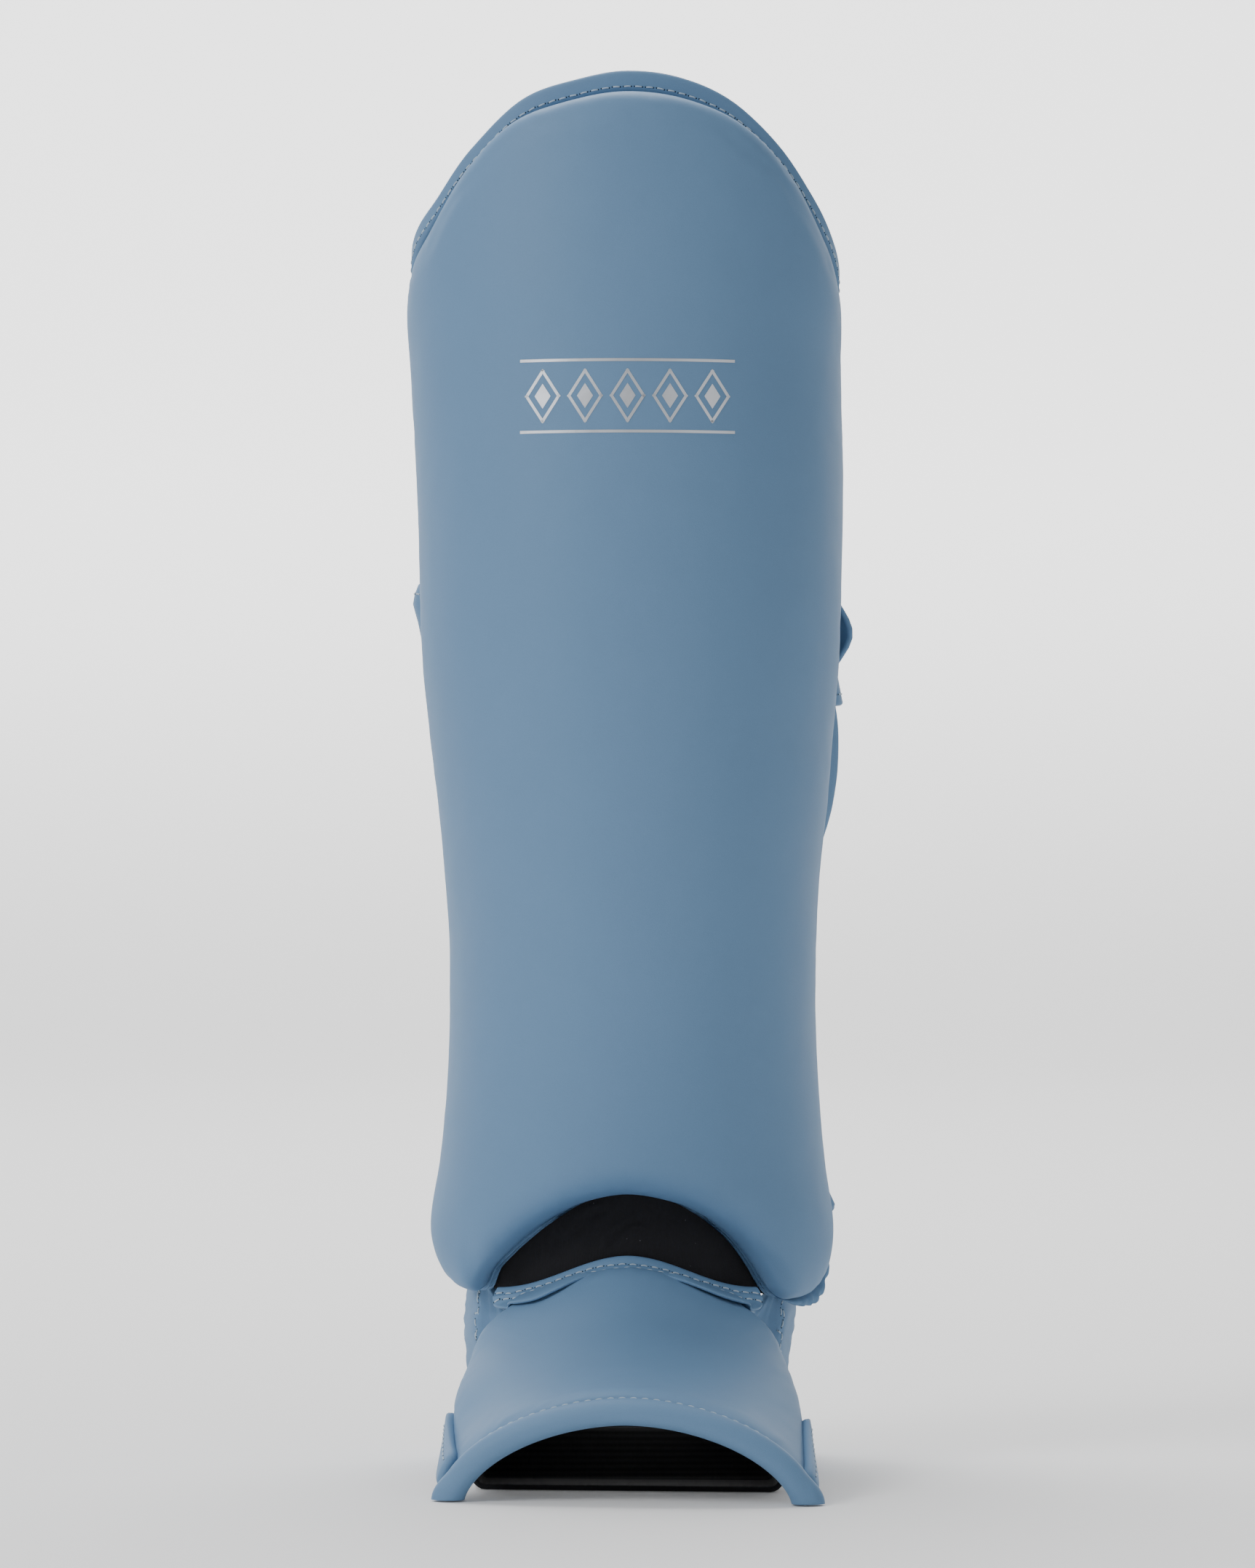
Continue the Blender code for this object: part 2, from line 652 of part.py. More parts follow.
def stand_on_origin():
    """Hangs the pieces on an empty that puts the middle of the guard's base at the origin."""
    bpy.context.view_layer.update()
    places = bpy.context.evaluated_depsgraph_get()
    pieces = list(guard.objects)
    points = [
        vertex.co.copy()
        for piece in pieces
        for vertex in piece.evaluated_get(places).to_mesh().vertices
    ]
    low = [min(point[axis] for point in points) for axis in range(3)]
    high = [max(point[axis] for point in points) for axis in range(3)]
    stand = bpy.data.objects.new("guard_stand", None)
    guard.objects.link(stand)
    stand.location = (-(low[0] + high[0]) / 2, -(low[1] + high[1]) / 2, -low[2])
    for piece in pieces:
        piece.parent = stand


for old in list(bpy.data.objects):
    bpy.data.objects.remove(old, do_unlink=True)
guard = bpy.data.collections.new("shin_guard")
bpy.context.scene.collection.children.link(guard)
build()
stand_on_origin()
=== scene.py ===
"""The looks of a standing shin and instep guard: padded covers, a black lining, rolled hems,
straps, elastic, stitches and a small studio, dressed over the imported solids.

Metres, +Z up, the front faces -Y. The surfaces are the ones that the solids were bent over, so
a cover lies where its solid is. Turn runs round the shin from -1 at the left side edge over 0
at the crest to 1 at the right, and across does the same over the instep.
"""

import math
from collections import namedtuple

import bmesh
import bpy
import numpy as np
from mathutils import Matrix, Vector, noise
from mathutils.bvhtree import BVHTree


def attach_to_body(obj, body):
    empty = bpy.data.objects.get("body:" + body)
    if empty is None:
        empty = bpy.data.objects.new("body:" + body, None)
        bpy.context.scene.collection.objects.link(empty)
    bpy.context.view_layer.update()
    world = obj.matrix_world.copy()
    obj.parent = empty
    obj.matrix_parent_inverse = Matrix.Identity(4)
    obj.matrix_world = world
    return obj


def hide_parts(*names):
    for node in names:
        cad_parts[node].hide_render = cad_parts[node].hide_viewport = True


bl_info = {
    "name": "Shin and instep guard",
    "version": (1, 0, 0),
    "blender": (4, 5, 0),
    "location": "View3D > Sidebar > Guard",
    "description": "Dresses the packed guard with covers, lining, straps and stitches",
    "category": "Object",
}

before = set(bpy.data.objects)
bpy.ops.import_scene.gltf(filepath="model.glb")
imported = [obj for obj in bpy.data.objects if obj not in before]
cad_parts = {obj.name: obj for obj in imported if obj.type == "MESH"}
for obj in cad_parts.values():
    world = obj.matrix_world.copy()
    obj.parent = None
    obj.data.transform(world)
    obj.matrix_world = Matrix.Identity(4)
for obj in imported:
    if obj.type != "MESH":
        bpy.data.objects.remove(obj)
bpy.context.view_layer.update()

# Where the solids' surfaces stand in the frame
STAND = np.array((-0.00069, 0.05472, 0.0))

# Heights above the floor and lengths of the surfaces
LOBE_BOTTOM = 0.0612
SHIN_HEIGHT = 0.4234
BACKING_HALF_WIDTH = 0.0722
BACKING_DEPTH = 0.060
DOME_DROP = 0.076
ARCH_RISE = 0.0375
INSTEP_REACH = 0.112
INSTEP_HALF_WIDTH = 0.0583
INSTEP_HEIGHT = 0.0725
INSTEP_SIDE_POWER = 1.08
INSTEP_TOP_POWER = 1.15
INSTEP_ARC = 1.2
INSTEP_NORMAL_END = 0.98
RIM_TURN = 0.014
QUARTER_ARC = math.pi / 4 * (BACKING_HALF_WIDTH + BACKING_DEPTH)

# Walls and edges
PAD_FRONT = 0.021
PAD_SIDE = 0.0075
PAD_EDGE_ROLL = 0.017
PAD_EDGE_SHARE = 0.42
TOP_ROLL = 0.009
TOP_SHARE = 0.60
ARCH_ROLL = 0.012
ARCH_SHARE = 0.55
FLANK_SHARE = 0.30
BORDER_WALL = 0.0025
LINING_WALL = 0.0015
FLANGE = 0.0085
FLANGE_LEAN = 0.0015
LOBE_HEM = 0.003
LOBE_HEM_RIGHT = 0.0045
ARCH_TUCK = 0.0018
LOBE_TURNS = (0.5, 0.8)
FLANGE_CORNER = 0.25
LINING_FOOT = 0.001
LINING_TURNS = (0.57, 0.68)
LINING_INSET_TURNS = (0.30, 0.44)
INSTEP_PAD = 0.0095
INSTEP_SIDE = 0.0055
INSTEP_EDGE_ROLL = 0.010
INSTEP_EDGE_SHARE = 0.5
TOE_ROLL = 0.009
TOE_SHARE = 0.64
ANKLE_REACH = 0.62
LINING_REACH = 0.78
ANKLE_REACH_END = 0.27
BINDING_WALL = 0.004
BINDING_SHARE = 0.055
SIDE_PANEL = 0.003
STRAP_WALL = 0.0022
ELASTIC_WALL = 0.0018
GAP = 0.0003

# Straps and ankle sides
CALF_STRAP_WIDTH = 0.042
UPPER_STRAP_HEIGHT = 0.271
LOWER_STRAP_HEIGHT = 0.150
CALF_DEPTH = 0.066
STRAP_BULGE = 0.0045
STRAP_CURL = 0.008
STRAP_CURL_AT = 0.6
STRAP_CURL_SPAN = 0.4
STRAP_END = 0.003
STRAP_CLEARANCE = 0.0006
FOOT_STRAP_TOP = 0.86
FOOT_STRAP_BEND = 0.005
FOOT_STRAP_FRONT = 0.72
FOOT_STRAP_REAR = 0.36
FOOT_STRAP_LEVEL = 0.5
FOOT_STRAP_RISE = 0.016
ANKLE_SIDE_TOP = 0.088
ANKLE_SIDE_FOOT = 0.0005
HEEL_DEPTH = 0.058
HEEL_STRAP_WIDTH = 0.046
HEEL_STRAP_BASE = 0.003

# Shin cross-sections from the floor up: heights in shares of SHIN_HEIGHT above the lobes, half
# widths of BACKING_HALF_WIDTH, depth and back of BACKING_DEPTH, flares of FLANGE
Section = namedtuple("Section", "height left right depth back flare_left flare_right")
SHIN_SECTIONS = (
    Section(-0.150, 0.795, 0.800, 0.80, 0.00, 0.0, 0.0),
    Section(-0.055, 0.825, 0.830, 0.88, 0.00, 0.0, 0.0),
    Section(0.000, 0.880, 0.920, 0.90, 0.00, 0.0, 0.3),
    Section(0.045, 0.915, 0.950, 0.90, 0.00, 0.1, 0.9),
    Section(0.104, 0.857, 0.902, 0.90, 0.00, 0.0, 0.2),
    Section(0.166, 0.820, 0.868, 0.91, 0.00, 0.0, 0.0),
    Section(0.222, 0.802, 0.852, 0.92, 0.00, 0.0, 0.0),
    Section(0.290, 0.802, 0.857, 0.94, -0.01, 0.0, 0.0),
    Section(0.352, 0.830, 0.874, 0.96, -0.02, 0.0, 0.3),
    Section(0.413, 0.866, 0.914, 0.98, -0.03, 0.0, 0.8),
    Section(0.470, 0.905, 0.940, 0.99, -0.04, 0.0, 0.8),
    Section(0.537, 0.940, 0.968, 1.00, -0.05, 0.0, 0.1),
    Section(0.661, 0.964, 0.993, 1.00, -0.04, 0.0, 0.0),
    Section(0.784, 1.005, 0.985, 0.98, 0.00, 0.0, 0.0),
    Section(0.834, 1.030, 1.010, 0.96, 0.00, 0.0, 0.0),
    Section(0.880, 1.040, 1.020, 0.93, 0.01, 0.0, 0.0),
    Section(1.000, 1.015, 0.990, 0.86, 0.06, 0.0, 0.0),
    Section(1.040, 1.010, 0.990, 0.83, 0.08, 0.0, 0.0),
)

# Ends of the shin pad by turn: the dome in shares of DOME_DROP below the top, the arch of
# ARCH_RISE above the lobes
Edge = namedtuple("Edge", "turn left right")
DOME_EDGE = (
    Edge(-0.16, 0.050, 0.040),
    Edge(0.00, 0.010, 0.010),
    Edge(0.16, 0.050, 0.040),
    Edge(0.33, 0.140, 0.142),
    Edge(0.50, 0.349, 0.342),
    Edge(0.66, 0.579, 0.592),
    Edge(0.80, 0.717, 0.789),
    Edge(0.92, 0.868, 0.974),
    Edge(1.00, 1.060, 1.150),
)
ARCH_EDGE = (
    Edge(-0.16, 0.885, 0.888),
    Edge(0.00, 0.985, 0.985),
    Edge(0.16, 0.885, 0.888),
    Edge(0.24, 0.762, 0.772),
    Edge(0.30, 0.655, 0.655),
    Edge(0.36, 0.534, 0.512),
    Edge(0.44, 0.370, 0.270),
    Edge(0.51, 0.225, 0.060),
    Edge(0.57, 0.040, -0.035),
    Edge(0.63, 0.045, -0.035),
    Edge(0.70, 0.093, -0.030),
    Edge(0.76, 0.155, 0.000),
    Edge(0.85, 0.320, 0.107),
    Edge(0.92, 0.507, 0.400),
    Edge(1.00, 0.780, 0.780),
)

# Instep sections from the ankle to the toes, in shares of the instep's reach, height and width
Station = namedtuple("Station", "along run top half skirt sweep bell")
INSTEP_STATIONS = (
    Station(0.00, 0.00, 1.000, 0.770, 0.835, 0.115, 1.0),
    Station(0.15, 0.12, 0.850, 0.815, 0.700, 0.125, 0.6),
    Station(0.35, 0.30, 0.660, 0.885, 0.530, 0.120, 0.2),
    Station(0.60, 0.56, 0.510, 0.960, 0.370, 0.090, 0.0),
    Station(0.80, 0.78, 0.440, 0.965, 0.200, 0.065, 0.0),
    Station(1.00, 1.00, 0.405, 0.985, 0.010, 0.040, 0.0),
)

# Calf strap outline in plan, in shares of its half width and of CALF_DEPTH
StrapPoint = namedtuple("StrapPoint", "side back")
CALF_PATH = (
    StrapPoint(0.990, 0.22),
    StrapPoint(0.930, 0.45),
    StrapPoint(0.790, 0.68),
    StrapPoint(0.560, 0.87),
    StrapPoint(0.290, 0.97),
    StrapPoint(0.000, 1.00),
)

# The tape on the instep's ankle edge: how far its lower edge reaches down the instep, in shares
# of INSTEP_REACH, and how far that edge stands off as a curled flap
TapeEdge = namedtuple("TapeEdge", "across reach curl")
TAPE_EDGE = (
    TapeEdge(-1.00, 0.052, 0.3),
    TapeEdge(-0.72, 0.100, 0.6),
    TapeEdge(-0.46, 0.162, 0.8),
    TapeEdge(-0.32, 0.146, 0.8),
    TapeEdge(-0.22, 0.104, 0.4),
    TapeEdge(-0.15, 0.082, 0.0),
    TapeEdge(0.00, 0.080, 0.0),
    TapeEdge(0.17, 0.084, 0.0),
    TapeEdge(0.28, 0.116, 0.6),
    TapeEdge(0.48, 0.136, 0.8),
    TapeEdge(0.74, 0.116, 0.8),
    TapeEdge(1.00, 0.056, 0.4),
)

# How far the flange stands forward of the backing at the dome, and at the lobes' lower hem
FlangeLift = namedtuple("FlangeLift", "turn dome")
FLANGE_LIFT = (
    FlangeLift(0.00, 0.0035),
    FlangeLift(0.40, 0.0042),
    FlangeLift(0.60, 0.0052),
    FlangeLift(0.80, 0.0052),
    FlangeLift(0.90, 0.0038),
    FlangeLift(0.96, 0.0016),
    FlangeLift(1.00, 0.0000),
)
LOBE_LIFT = (
    Edge(0.50, 0.0000, 0.0000),
    Edge(0.65, 0.0000, 0.0020),
    Edge(0.80, 0.0015, 0.0050),
    Edge(0.92, 0.0020, 0.0050),
    Edge(1.00, 0.0000, 0.0000),
)

# Soft dents of the shin pad as seen from the front: place, reach and depth
Dent = namedtuple("Dent", "x z radius depth")
SHIN_DENTS = (
    Dent(-0.059, 0.0745, 0.0070, 0.0011),
    Dent(-0.048, 0.0655, 0.0060, 0.0010),
    Dent(0.056, 0.0660, 0.0080, 0.0010),
    Dent(0.047, 0.0720, 0.0060, 0.0008),
    Dent(-0.030, 0.1250, 0.0300, 0.0006),
    Dent(0.035, 0.1500, 0.0350, -0.0006),
)

# Folds of the lining in the cut-out: the ends of each line, its width and its depth
Fold = namedtuple("Fold", "x0 z0 x1 z1 width depth")
LINING_FOLDS = (
    Fold(-0.0185, 0.0850, -0.0095, 0.0925, 0.0016, 0.0012),
    Fold(-0.0070, 0.0792, 0.0025, 0.0890, 0.0014, 0.0013),
    Fold(0.0000, 0.0836, 0.0062, 0.0843, 0.0012, 0.0010),
    Fold(-0.0270, 0.0780, -0.0200, 0.0830, 0.0022, 0.0006),
    Fold(0.0140, 0.0800, 0.0240, 0.0860, 0.0030, 0.0005),
    Fold(-0.0150, 0.0790, -0.0090, 0.0820, 0.0020, 0.0005),
)

# The rolled front rim's section, from under the cover over the front to the lining: forward of
# the pad's end and out from the lining. The first points follow the cover down to the seam.
RimPoint = namedtuple("RimPoint", "forward out")
RIM_COVER = (
    RimPoint(-0.0070, -0.0012),
    RimPoint(-0.0035, -0.0002),
    RimPoint(-0.0012, -0.0003),
)
RIM_ROLL = (
    RimPoint(0.0006, 0.0064),
    RimPoint(0.0030, 0.0069),
    RimPoint(0.0056, 0.0060),
    RimPoint(0.0074, 0.0042),
    RimPoint(0.0082, 0.0018),
    RimPoint(0.0076, -0.0006),
    RimPoint(0.0058, -0.0020),
    RimPoint(0.0030, -0.0025),
    RimPoint(-0.0010, -0.0025),
    RimPoint(-0.0060, -0.0022),
)
PIECE_BODY = "root"
SURFACE_STEP = 0.004
EDGE_STEP = 0.02
BAND_HEM = 0.9
SIM_FRAMES = 20
CLOTH = {
    "quality": 6, "mass": 0.25, "tension_stiffness": 12, "compression_stiffness": 12,
    "shear_stiffness": 6, "bending_stiffness": 0.8, "use_pressure": True,
    "uniform_pressure_force": 2.0,
}

# Small unevenness of the covers: height, size and seed of the noise
Ripple = namedtuple("Ripple", "height scale seed")
SHIN_RIPPLES = (Ripple(0.0005, 0.055, 11.0), Ripple(0.00012, 0.010, 7.0))
INSTEP_RIPPLES = (Ripple(0.0004, 0.035, 21.0), Ripple(0.0001, 0.009, 4.0))


class GuardSizes(bpy.types.PropertyGroup):
    """Sizes that a user may change."""

    stitch_pitch: bpy.props.FloatProperty(
        name="Stitch pitch", description="Distance from one stitch to the next",
        default=0.0039, unit="LENGTH")
    stitch_length: bpy.props.FloatProperty(
        name="Stitch length", description="Visible length of one stitch",
        default=0.0026, unit="LENGTH")
    thread: bpy.props.FloatProperty(
        name="Thread", description="Thickness of the sewing thread",
        default=0.00062, unit="LENGTH")
    puff: bpy.props.FloatProperty(
        name="Puff", description="How far the foam's cover may swell between its seams",
        default=0.0016, unit="LENGTH")
    pucker: bpy.props.FloatProperty(
        name="Pucker", description="Height of the small gathers along the pads' edges",
        default=0.00022, unit="LENGTH")
    grain: bpy.props.FloatProperty(
        name="Grain", description="Size of the cover's pebble grain",
        default=0.00045, unit="LENGTH")


class GuardColours(bpy.types.PropertyGroup):
    """Colours that a user may change."""

    cover: bpy.props.FloatVectorProperty(
        name="Cover", description="Matt synthetic leather", subtype="COLOR", size=3,
        default=(0.125, 0.232, 0.380))
    lining: bpy.props.FloatVectorProperty(
        name="Lining", description="Knitted lining", subtype="COLOR", size=3,
        default=(0.010, 0.010, 0.012))
    thread: bpy.props.FloatVectorProperty(
        name="Thread", description="Sewing thread", subtype="COLOR", size=3,
        default=(0.40, 0.50, 0.60))
    foil: bpy.props.FloatVectorProperty(
        name="Foil", description="Silver print", subtype="COLOR", size=3,
        default=(0.62, 0.65, 0.70))
    paper: bpy.props.FloatVectorProperty(
        name="Paper", description="Floor and backdrop", subtype="COLOR", size=3,
        default=(0.80, 0.80, 0.80))


def sizes():
    return bpy.context.scene.guard_sizes


def colours():
    return bpy.context.scene.guard_colours


def slopes_at(keys, values):
    """The slope of a smooth curve at each of its rows."""
    last = len(keys) - 1
    before = np.maximum(np.arange(last + 1) - 1, 0)
    after = np.minimum(np.arange(last + 1) + 1, last)
    spans = (keys[after] - keys[before]).reshape(-1, *([1] * (values.ndim - 1)))
    return (values[after] - values[before]) / spans


def between(values, slopes, low, step, t):
    """The smooth curve from row low to the next one, at t from 0 to 1."""
    return (
        values[low] * (1 + 2 * t) * (1 - t) ** 2
        + slopes[low] * step * t * (1 - t) ** 2
        + values[low + 1] * t * t * (3 - 2 * t)
        + slopes[low + 1] * step * t * t * (t - 1)
    )


def read(table, column, at):
    """A column of a table at keys between its rows, on a smooth curve through the rows."""
    rows = np.array(table, dtype=float)
    keys = rows[:, 0]
    values = rows[:, table[0]._fields.index(column)]
    at = np.clip(at, keys[0], keys[-1])
    low = np.clip(np.searchsorted(keys, at, side="right") - 1, 0, len(keys) - 2)
    step = keys[low + 1] - keys[low]
    return between(values, slopes_at(keys, values), low, step, (at - keys[low]) / step)


def by_side(table, at, side):
    """The left column for a negative side and the right one for a positive side."""
    return np.where(side < 0, read(table, "left", at), read(table, "right", at))


def ramp(value, low, high):
    """0 up to low, 1 from high on, and even between them."""
    return np.clip((value - low) / (high - low), 0, 1)


def smooth(value, low, high):
    """0 up to low, 1 from high on, and eased between them."""
    t = ramp(value, low, high)
    return t * t * (3 - 2 * t)


def mix(first, second, t):
    return first + (second - first) * t


def together(*values):
    """Numbers and arrays as float arrays of one shape."""
    return np.broadcast_arrays(*(np.asarray(value, float) for value in values))


def unit(vectors):
    return vectors / np.linalg.norm(vectors, axis=-1, keepdims=True)


def walls(point, outside, inside):
    """The outer and the inner face of a wall whose points take a lift."""
    return (lambda u, v: point(u, v, outside)), (lambda u, v: point(u, v, inside))


def shin_base(turn, height):
    """A point where the shin pad meets its backing. Past a turn of 1 it is the flange."""
    turn, height = together(turn, height)
    side = np.abs(turn)
    half = BACKING_HALF_WIDTH * by_side(SHIN_SECTIONS, height, turn)
    depth = BACKING_DEPTH * read(SHIN_SECTIONS, "depth", height)
    back = BACKING_DEPTH * read(SHIN_SECTIONS, "back", height)
    angle = np.minimum(side, 1) * math.pi / 2
    beyond = np.maximum(side - 1, 0) * QUARTER_ARC
    flares = (read(SHIN_SECTIONS, "flare_left", height), read(SHIN_SECTIONS, "flare_right", height))
    flare = FLANGE_LEAN + FLANGE * np.where(turn < 0, *flares)
    x = half * np.sin(angle) + flare * beyond / FLANGE
    y = back - depth * np.cos(angle) + beyond
    return np.stack((np.copysign(x, turn), y, LOBE_BOTTOM + height * SHIN_HEIGHT), axis=-1)


def facing(surface, u, v):
    """The direction that a surface faces, for u to the right and v upwards."""
    across = surface(u + SURFACE_STEP, v) - surface(u - SURFACE_STEP, v)
    up = surface(u, v + SURFACE_STEP) - surface(u, v - SURFACE_STEP)
    return unit(np.cross(across, up))


def lifted(surface, u, v, lift):
    """Points of a surface, moved out along its normals."""
    u, v, lift = together(u, v, lift)
    return surface(u, v) + facing(surface, u, v) * lift[..., None]


def dome(turn):
    """Height share of the shin pad's top edge."""
    return 1 - DOME_DROP / SHIN_HEIGHT * by_side(DOME_EDGE, np.minimum(np.abs(turn), 1), turn)


def arch(turn):
    """Height share of the shin pad's lower edge."""
    return ARCH_RISE / SHIN_HEIGHT * by_side(ARCH_EDGE, np.minimum(np.abs(turn), 1), turn)


def shin_height(turn, share):
    return mix(arch(turn), dome(turn), share)


def rolled(distance, radius, edge_share):
    """Share of the wall that is left at a distance from a rounded edge."""
    run = np.clip(distance / radius, 0, 1)
    return edge_share + (1 - edge_share) * np.sqrt(1 - (1 - run) ** 2)


def edge_run(edge, turn, height):
    """Distance from a sloping end of the pad, measured square to it."""
    rise = (edge(turn + EDGE_STEP) - edge(turn - EDGE_STEP)) * SHIN_HEIGHT
    slope = rise / (2 * EDGE_STEP * QUARTER_ARC)
    return np.abs(edge(turn) - height) * SHIN_HEIGHT / np.hypot(1, slope)


def shin_pad_lift(turn, height):
    """Thickness of the shin pad at a point."""
    side = np.abs(turn)
    wall = mix(PAD_FRONT, PAD_SIDE, np.sin(np.minimum(side, 1) * math.pi / 2) ** 2)
    wall = wall * rolled((1 - side) * QUARTER_ARC, PAD_EDGE_ROLL, PAD_EDGE_SHARE)
    shoulder = smooth(side, 0.35, 0.75)
    top = rolled(
        edge_run(dome, turn, height), mix(TOP_ROLL, PAD_EDGE_ROLL, shoulder),
        mix(TOP_SHARE, PAD_EDGE_SHARE, shoulder))
    lobe = smooth(side, 0.45, 0.75)
    flank = smooth(side, 0.15, 0.45) * (1 - lobe)
    low = rolled(
        edge_run(arch, turn, height), mix(ARCH_ROLL, PAD_EDGE_ROLL, lobe),
        mix(mix(ARCH_SHARE, FLANK_SHARE, flank), PAD_EDGE_SHARE, lobe))
    return wall * top * low


def instep_base(across, along):
    """A point where the instep pad meets its lining."""
    across, along = together(across, along)
    run, top, width, skirt, sweep, bell = (
        read(INSTEP_STATIONS, name, along) for name in Station._fields[1:]
    )
    angle = across * math.pi / 2
    side = np.sin(angle)
    x = INSTEP_HALF_WIDTH * width * np.copysign(np.abs(side) ** INSTEP_SIDE_POWER, side)
    round_top = np.maximum(np.cos(angle), 0) ** INSTEP_TOP_POWER
    bell_top = 0.5 + 0.5 * np.cos(math.pi * side)
    rise = mix(round_top, bell_top, bell)
    z = INSTEP_HEIGHT * mix(skirt, top, rise)
    turned = RIM_TURN * side * run / 2
    y = instep_front() - INSTEP_REACH * (run - sweep * side * side) - turned
    return np.stack((x, y, z), axis=-1)


def instep_facing(across, along):
    """The direction away from the foot on the instep's surface."""
    def risen(side, rise):
        return instep_base(side, -rise)

    inner = np.clip(across, -INSTEP_NORMAL_END, INSTEP_NORMAL_END)
    return facing(risen, inner, -np.asarray(along, float))


def instep_point(across, along, lift):
    """Points of the instep's surface moved out, away from the foot."""
    across, along, lift = together(across, along, lift)
    return instep_base(across, along) + instep_facing(across, along) * lift[..., None]


def instep_front():
    """Y of the instep's ankle edge."""
    height = (INSTEP_HEIGHT - LOBE_BOTTOM) / SHIN_HEIGHT
    depth = BACKING_DEPTH * float(read(SHIN_SECTIONS, "depth", height))
    return -(depth - BORDER_WALL - 2 * GAP) - LINING_WALL - 3 * GAP


def instep_pad_lift(across, along):
    """Thickness of the instep pad. It stays full at the toes, where the rim takes it in."""
    around = np.sin(np.minimum(np.abs(across), 1) * math.pi / 2) ** 2
    wall = mix(INSTEP_PAD, INSTEP_SIDE, around)
    side_run = (1 - np.abs(across)) * INSTEP_HALF_WIDTH * INSTEP_ARC
    end_run = (along - BINDING_SHARE) * INSTEP_REACH
    wall = wall * rolled(side_run, INSTEP_EDGE_ROLL, INSTEP_EDGE_SHARE)
    return wall * rolled(end_run, INSTEP_EDGE_ROLL, INSTEP_EDGE_SHARE)


def pad_reach(along):
    """How far the instep pad reaches to the sides, in shares of the instep's half width."""
    return mix(ANKLE_REACH, 1, smooth(along, BINDING_SHARE, ANKLE_REACH_END))


def pad_cover_lift(column, along):
    """Thickness of the instep's cover. It dips at the seam of the rim."""
    toe_run = (1 - along) * INSTEP_REACH
    return instep_pad_lift(column, along) * rolled(toe_run, TOE_ROLL, TOE_SHARE)


def cover_lift(across, along):
    """Thickness of the instep's cover at a place on the instep."""
    return pad_cover_lift(np.clip(across / pad_reach(along), -1, 1), along)


def waves(points, scale, seed):
    """Smooth noise from -1 to 1 at points, with features about scale metres wide."""
    flat = points.reshape(-1, 3) / scale + seed
    values = [noise.noise(Vector(point)) for point in flat]
    return np.array(values).reshape(points.shape[:-1])


def eased(count, first, last):
    """Values from first to last that draw together at both ends."""
    t = 0.5 - 0.5 * np.cos(np.pi * np.linspace(0, 1, count + 1))
    return mix(first, last, t)


def half_eased(count, first, last):
    """Values from first to last, half way between even and drawn together at the ends."""
    return (eased(count, first, last) + np.linspace(first, last, count + 1)) / 2


def closed_shell(name, us, vs, outer, inner, hem=1.0, hem_steps=3):
    """A wall between two surfaces over a grid, closed by a rounded hem. us run to the right and
    vs upwards, seen from outside. hem is how far the edge bulges, in shares of half the wall.
    The points keep their u and v, and cover is 1 outside and 0 inside."""
    u, v = np.meshgrid(us, vs)
    front = outer(u, v)
    back = inner(u, v)
    rows, columns = u.shape
    ring = [(0, i) for i in range(columns - 1)]
    ring += [(j, columns - 1) for j in range(rows - 1)]
    ring += [(rows - 1, i) for i in range(columns - 1, 0, -1)]
    ring += [(j, 0) for j in range(rows - 1, 0, -1)]
    at_j, at_i = np.array(ring).T
    in_j = np.clip(at_j, 1, rows - 2)
    in_i = np.clip(at_i, 1, columns - 2)
    away = unit(front[at_j, at_i] - front[in_j, in_i])
    middle = (front[at_j, at_i] + back[at_j, at_i]) / 2
    half = (front[at_j, at_i] - back[at_j, at_i]) / 2
    reach = hem * np.linalg.norm(half, axis=1, keepdims=True)
    points = [front.reshape(-1, 3), back.reshape(-1, 3)]
    cover = [np.ones(u.size), np.zeros(u.size)]
    for step in range(1, hem_steps + 1):
        angle = math.pi * step / (hem_steps + 1)
        points.append(middle + half * math.cos(angle) + away * reach * math.sin(angle))
        cover.append(np.full(len(ring), 0.5 + 0.5 * math.cos(angle)))
    grid = np.arange(u.size).reshape(rows, columns)
    low_left, low_right = grid[:-1, :-1].ravel(), grid[:-1, 1:].ravel()
    top_left, top_right = grid[1:, :-1].ravel(), grid[1:, 1:].ravel()
    size = u.size
    faces = np.stack((low_left, low_right, top_right, top_left), axis=1).tolist()
    faces += np.stack(
        (low_left + size, top_left + size, top_right + size, low_right + size), axis=1).tolist()
    loops = [grid[at_j, at_i]]
    loops += [2 * size + len(ring) * step + np.arange(len(ring)) for step in range(hem_steps)]
    loops.append(grid[at_j, at_i] + size)
    for near, far in zip(loops, loops[1:]):
        after = np.roll(np.arange(len(ring)), -1)
        faces += np.stack((near[after], near, far, far[after]), axis=1).tolist()
    ring_u = np.tile(u[at_j, at_i], hem_steps)
    ring_v = np.tile(v[at_j, at_i], hem_steps)
    mesh = bpy.data.meshes.new(name)
    mesh.from_pydata((np.concatenate(points) + STAND).tolist(), [], faces)
    attach(mesh, "u", np.concatenate((u.ravel(), u.ravel(), ring_u)))
    attach(mesh, "v", np.concatenate((v.ravel(), v.ravel(), ring_v)))
    attach(mesh, "cover", np.concatenate(cover))
    lay = cloth_lay(front)
    ring_lay = np.tile(lay[at_j, at_i], (hem_steps, 1))
    add_uv(mesh, np.concatenate((lay.reshape(-1, 2), lay.reshape(-1, 2), ring_lay)))
    mesh.shade_smooth()
    return add_object(name, mesh)


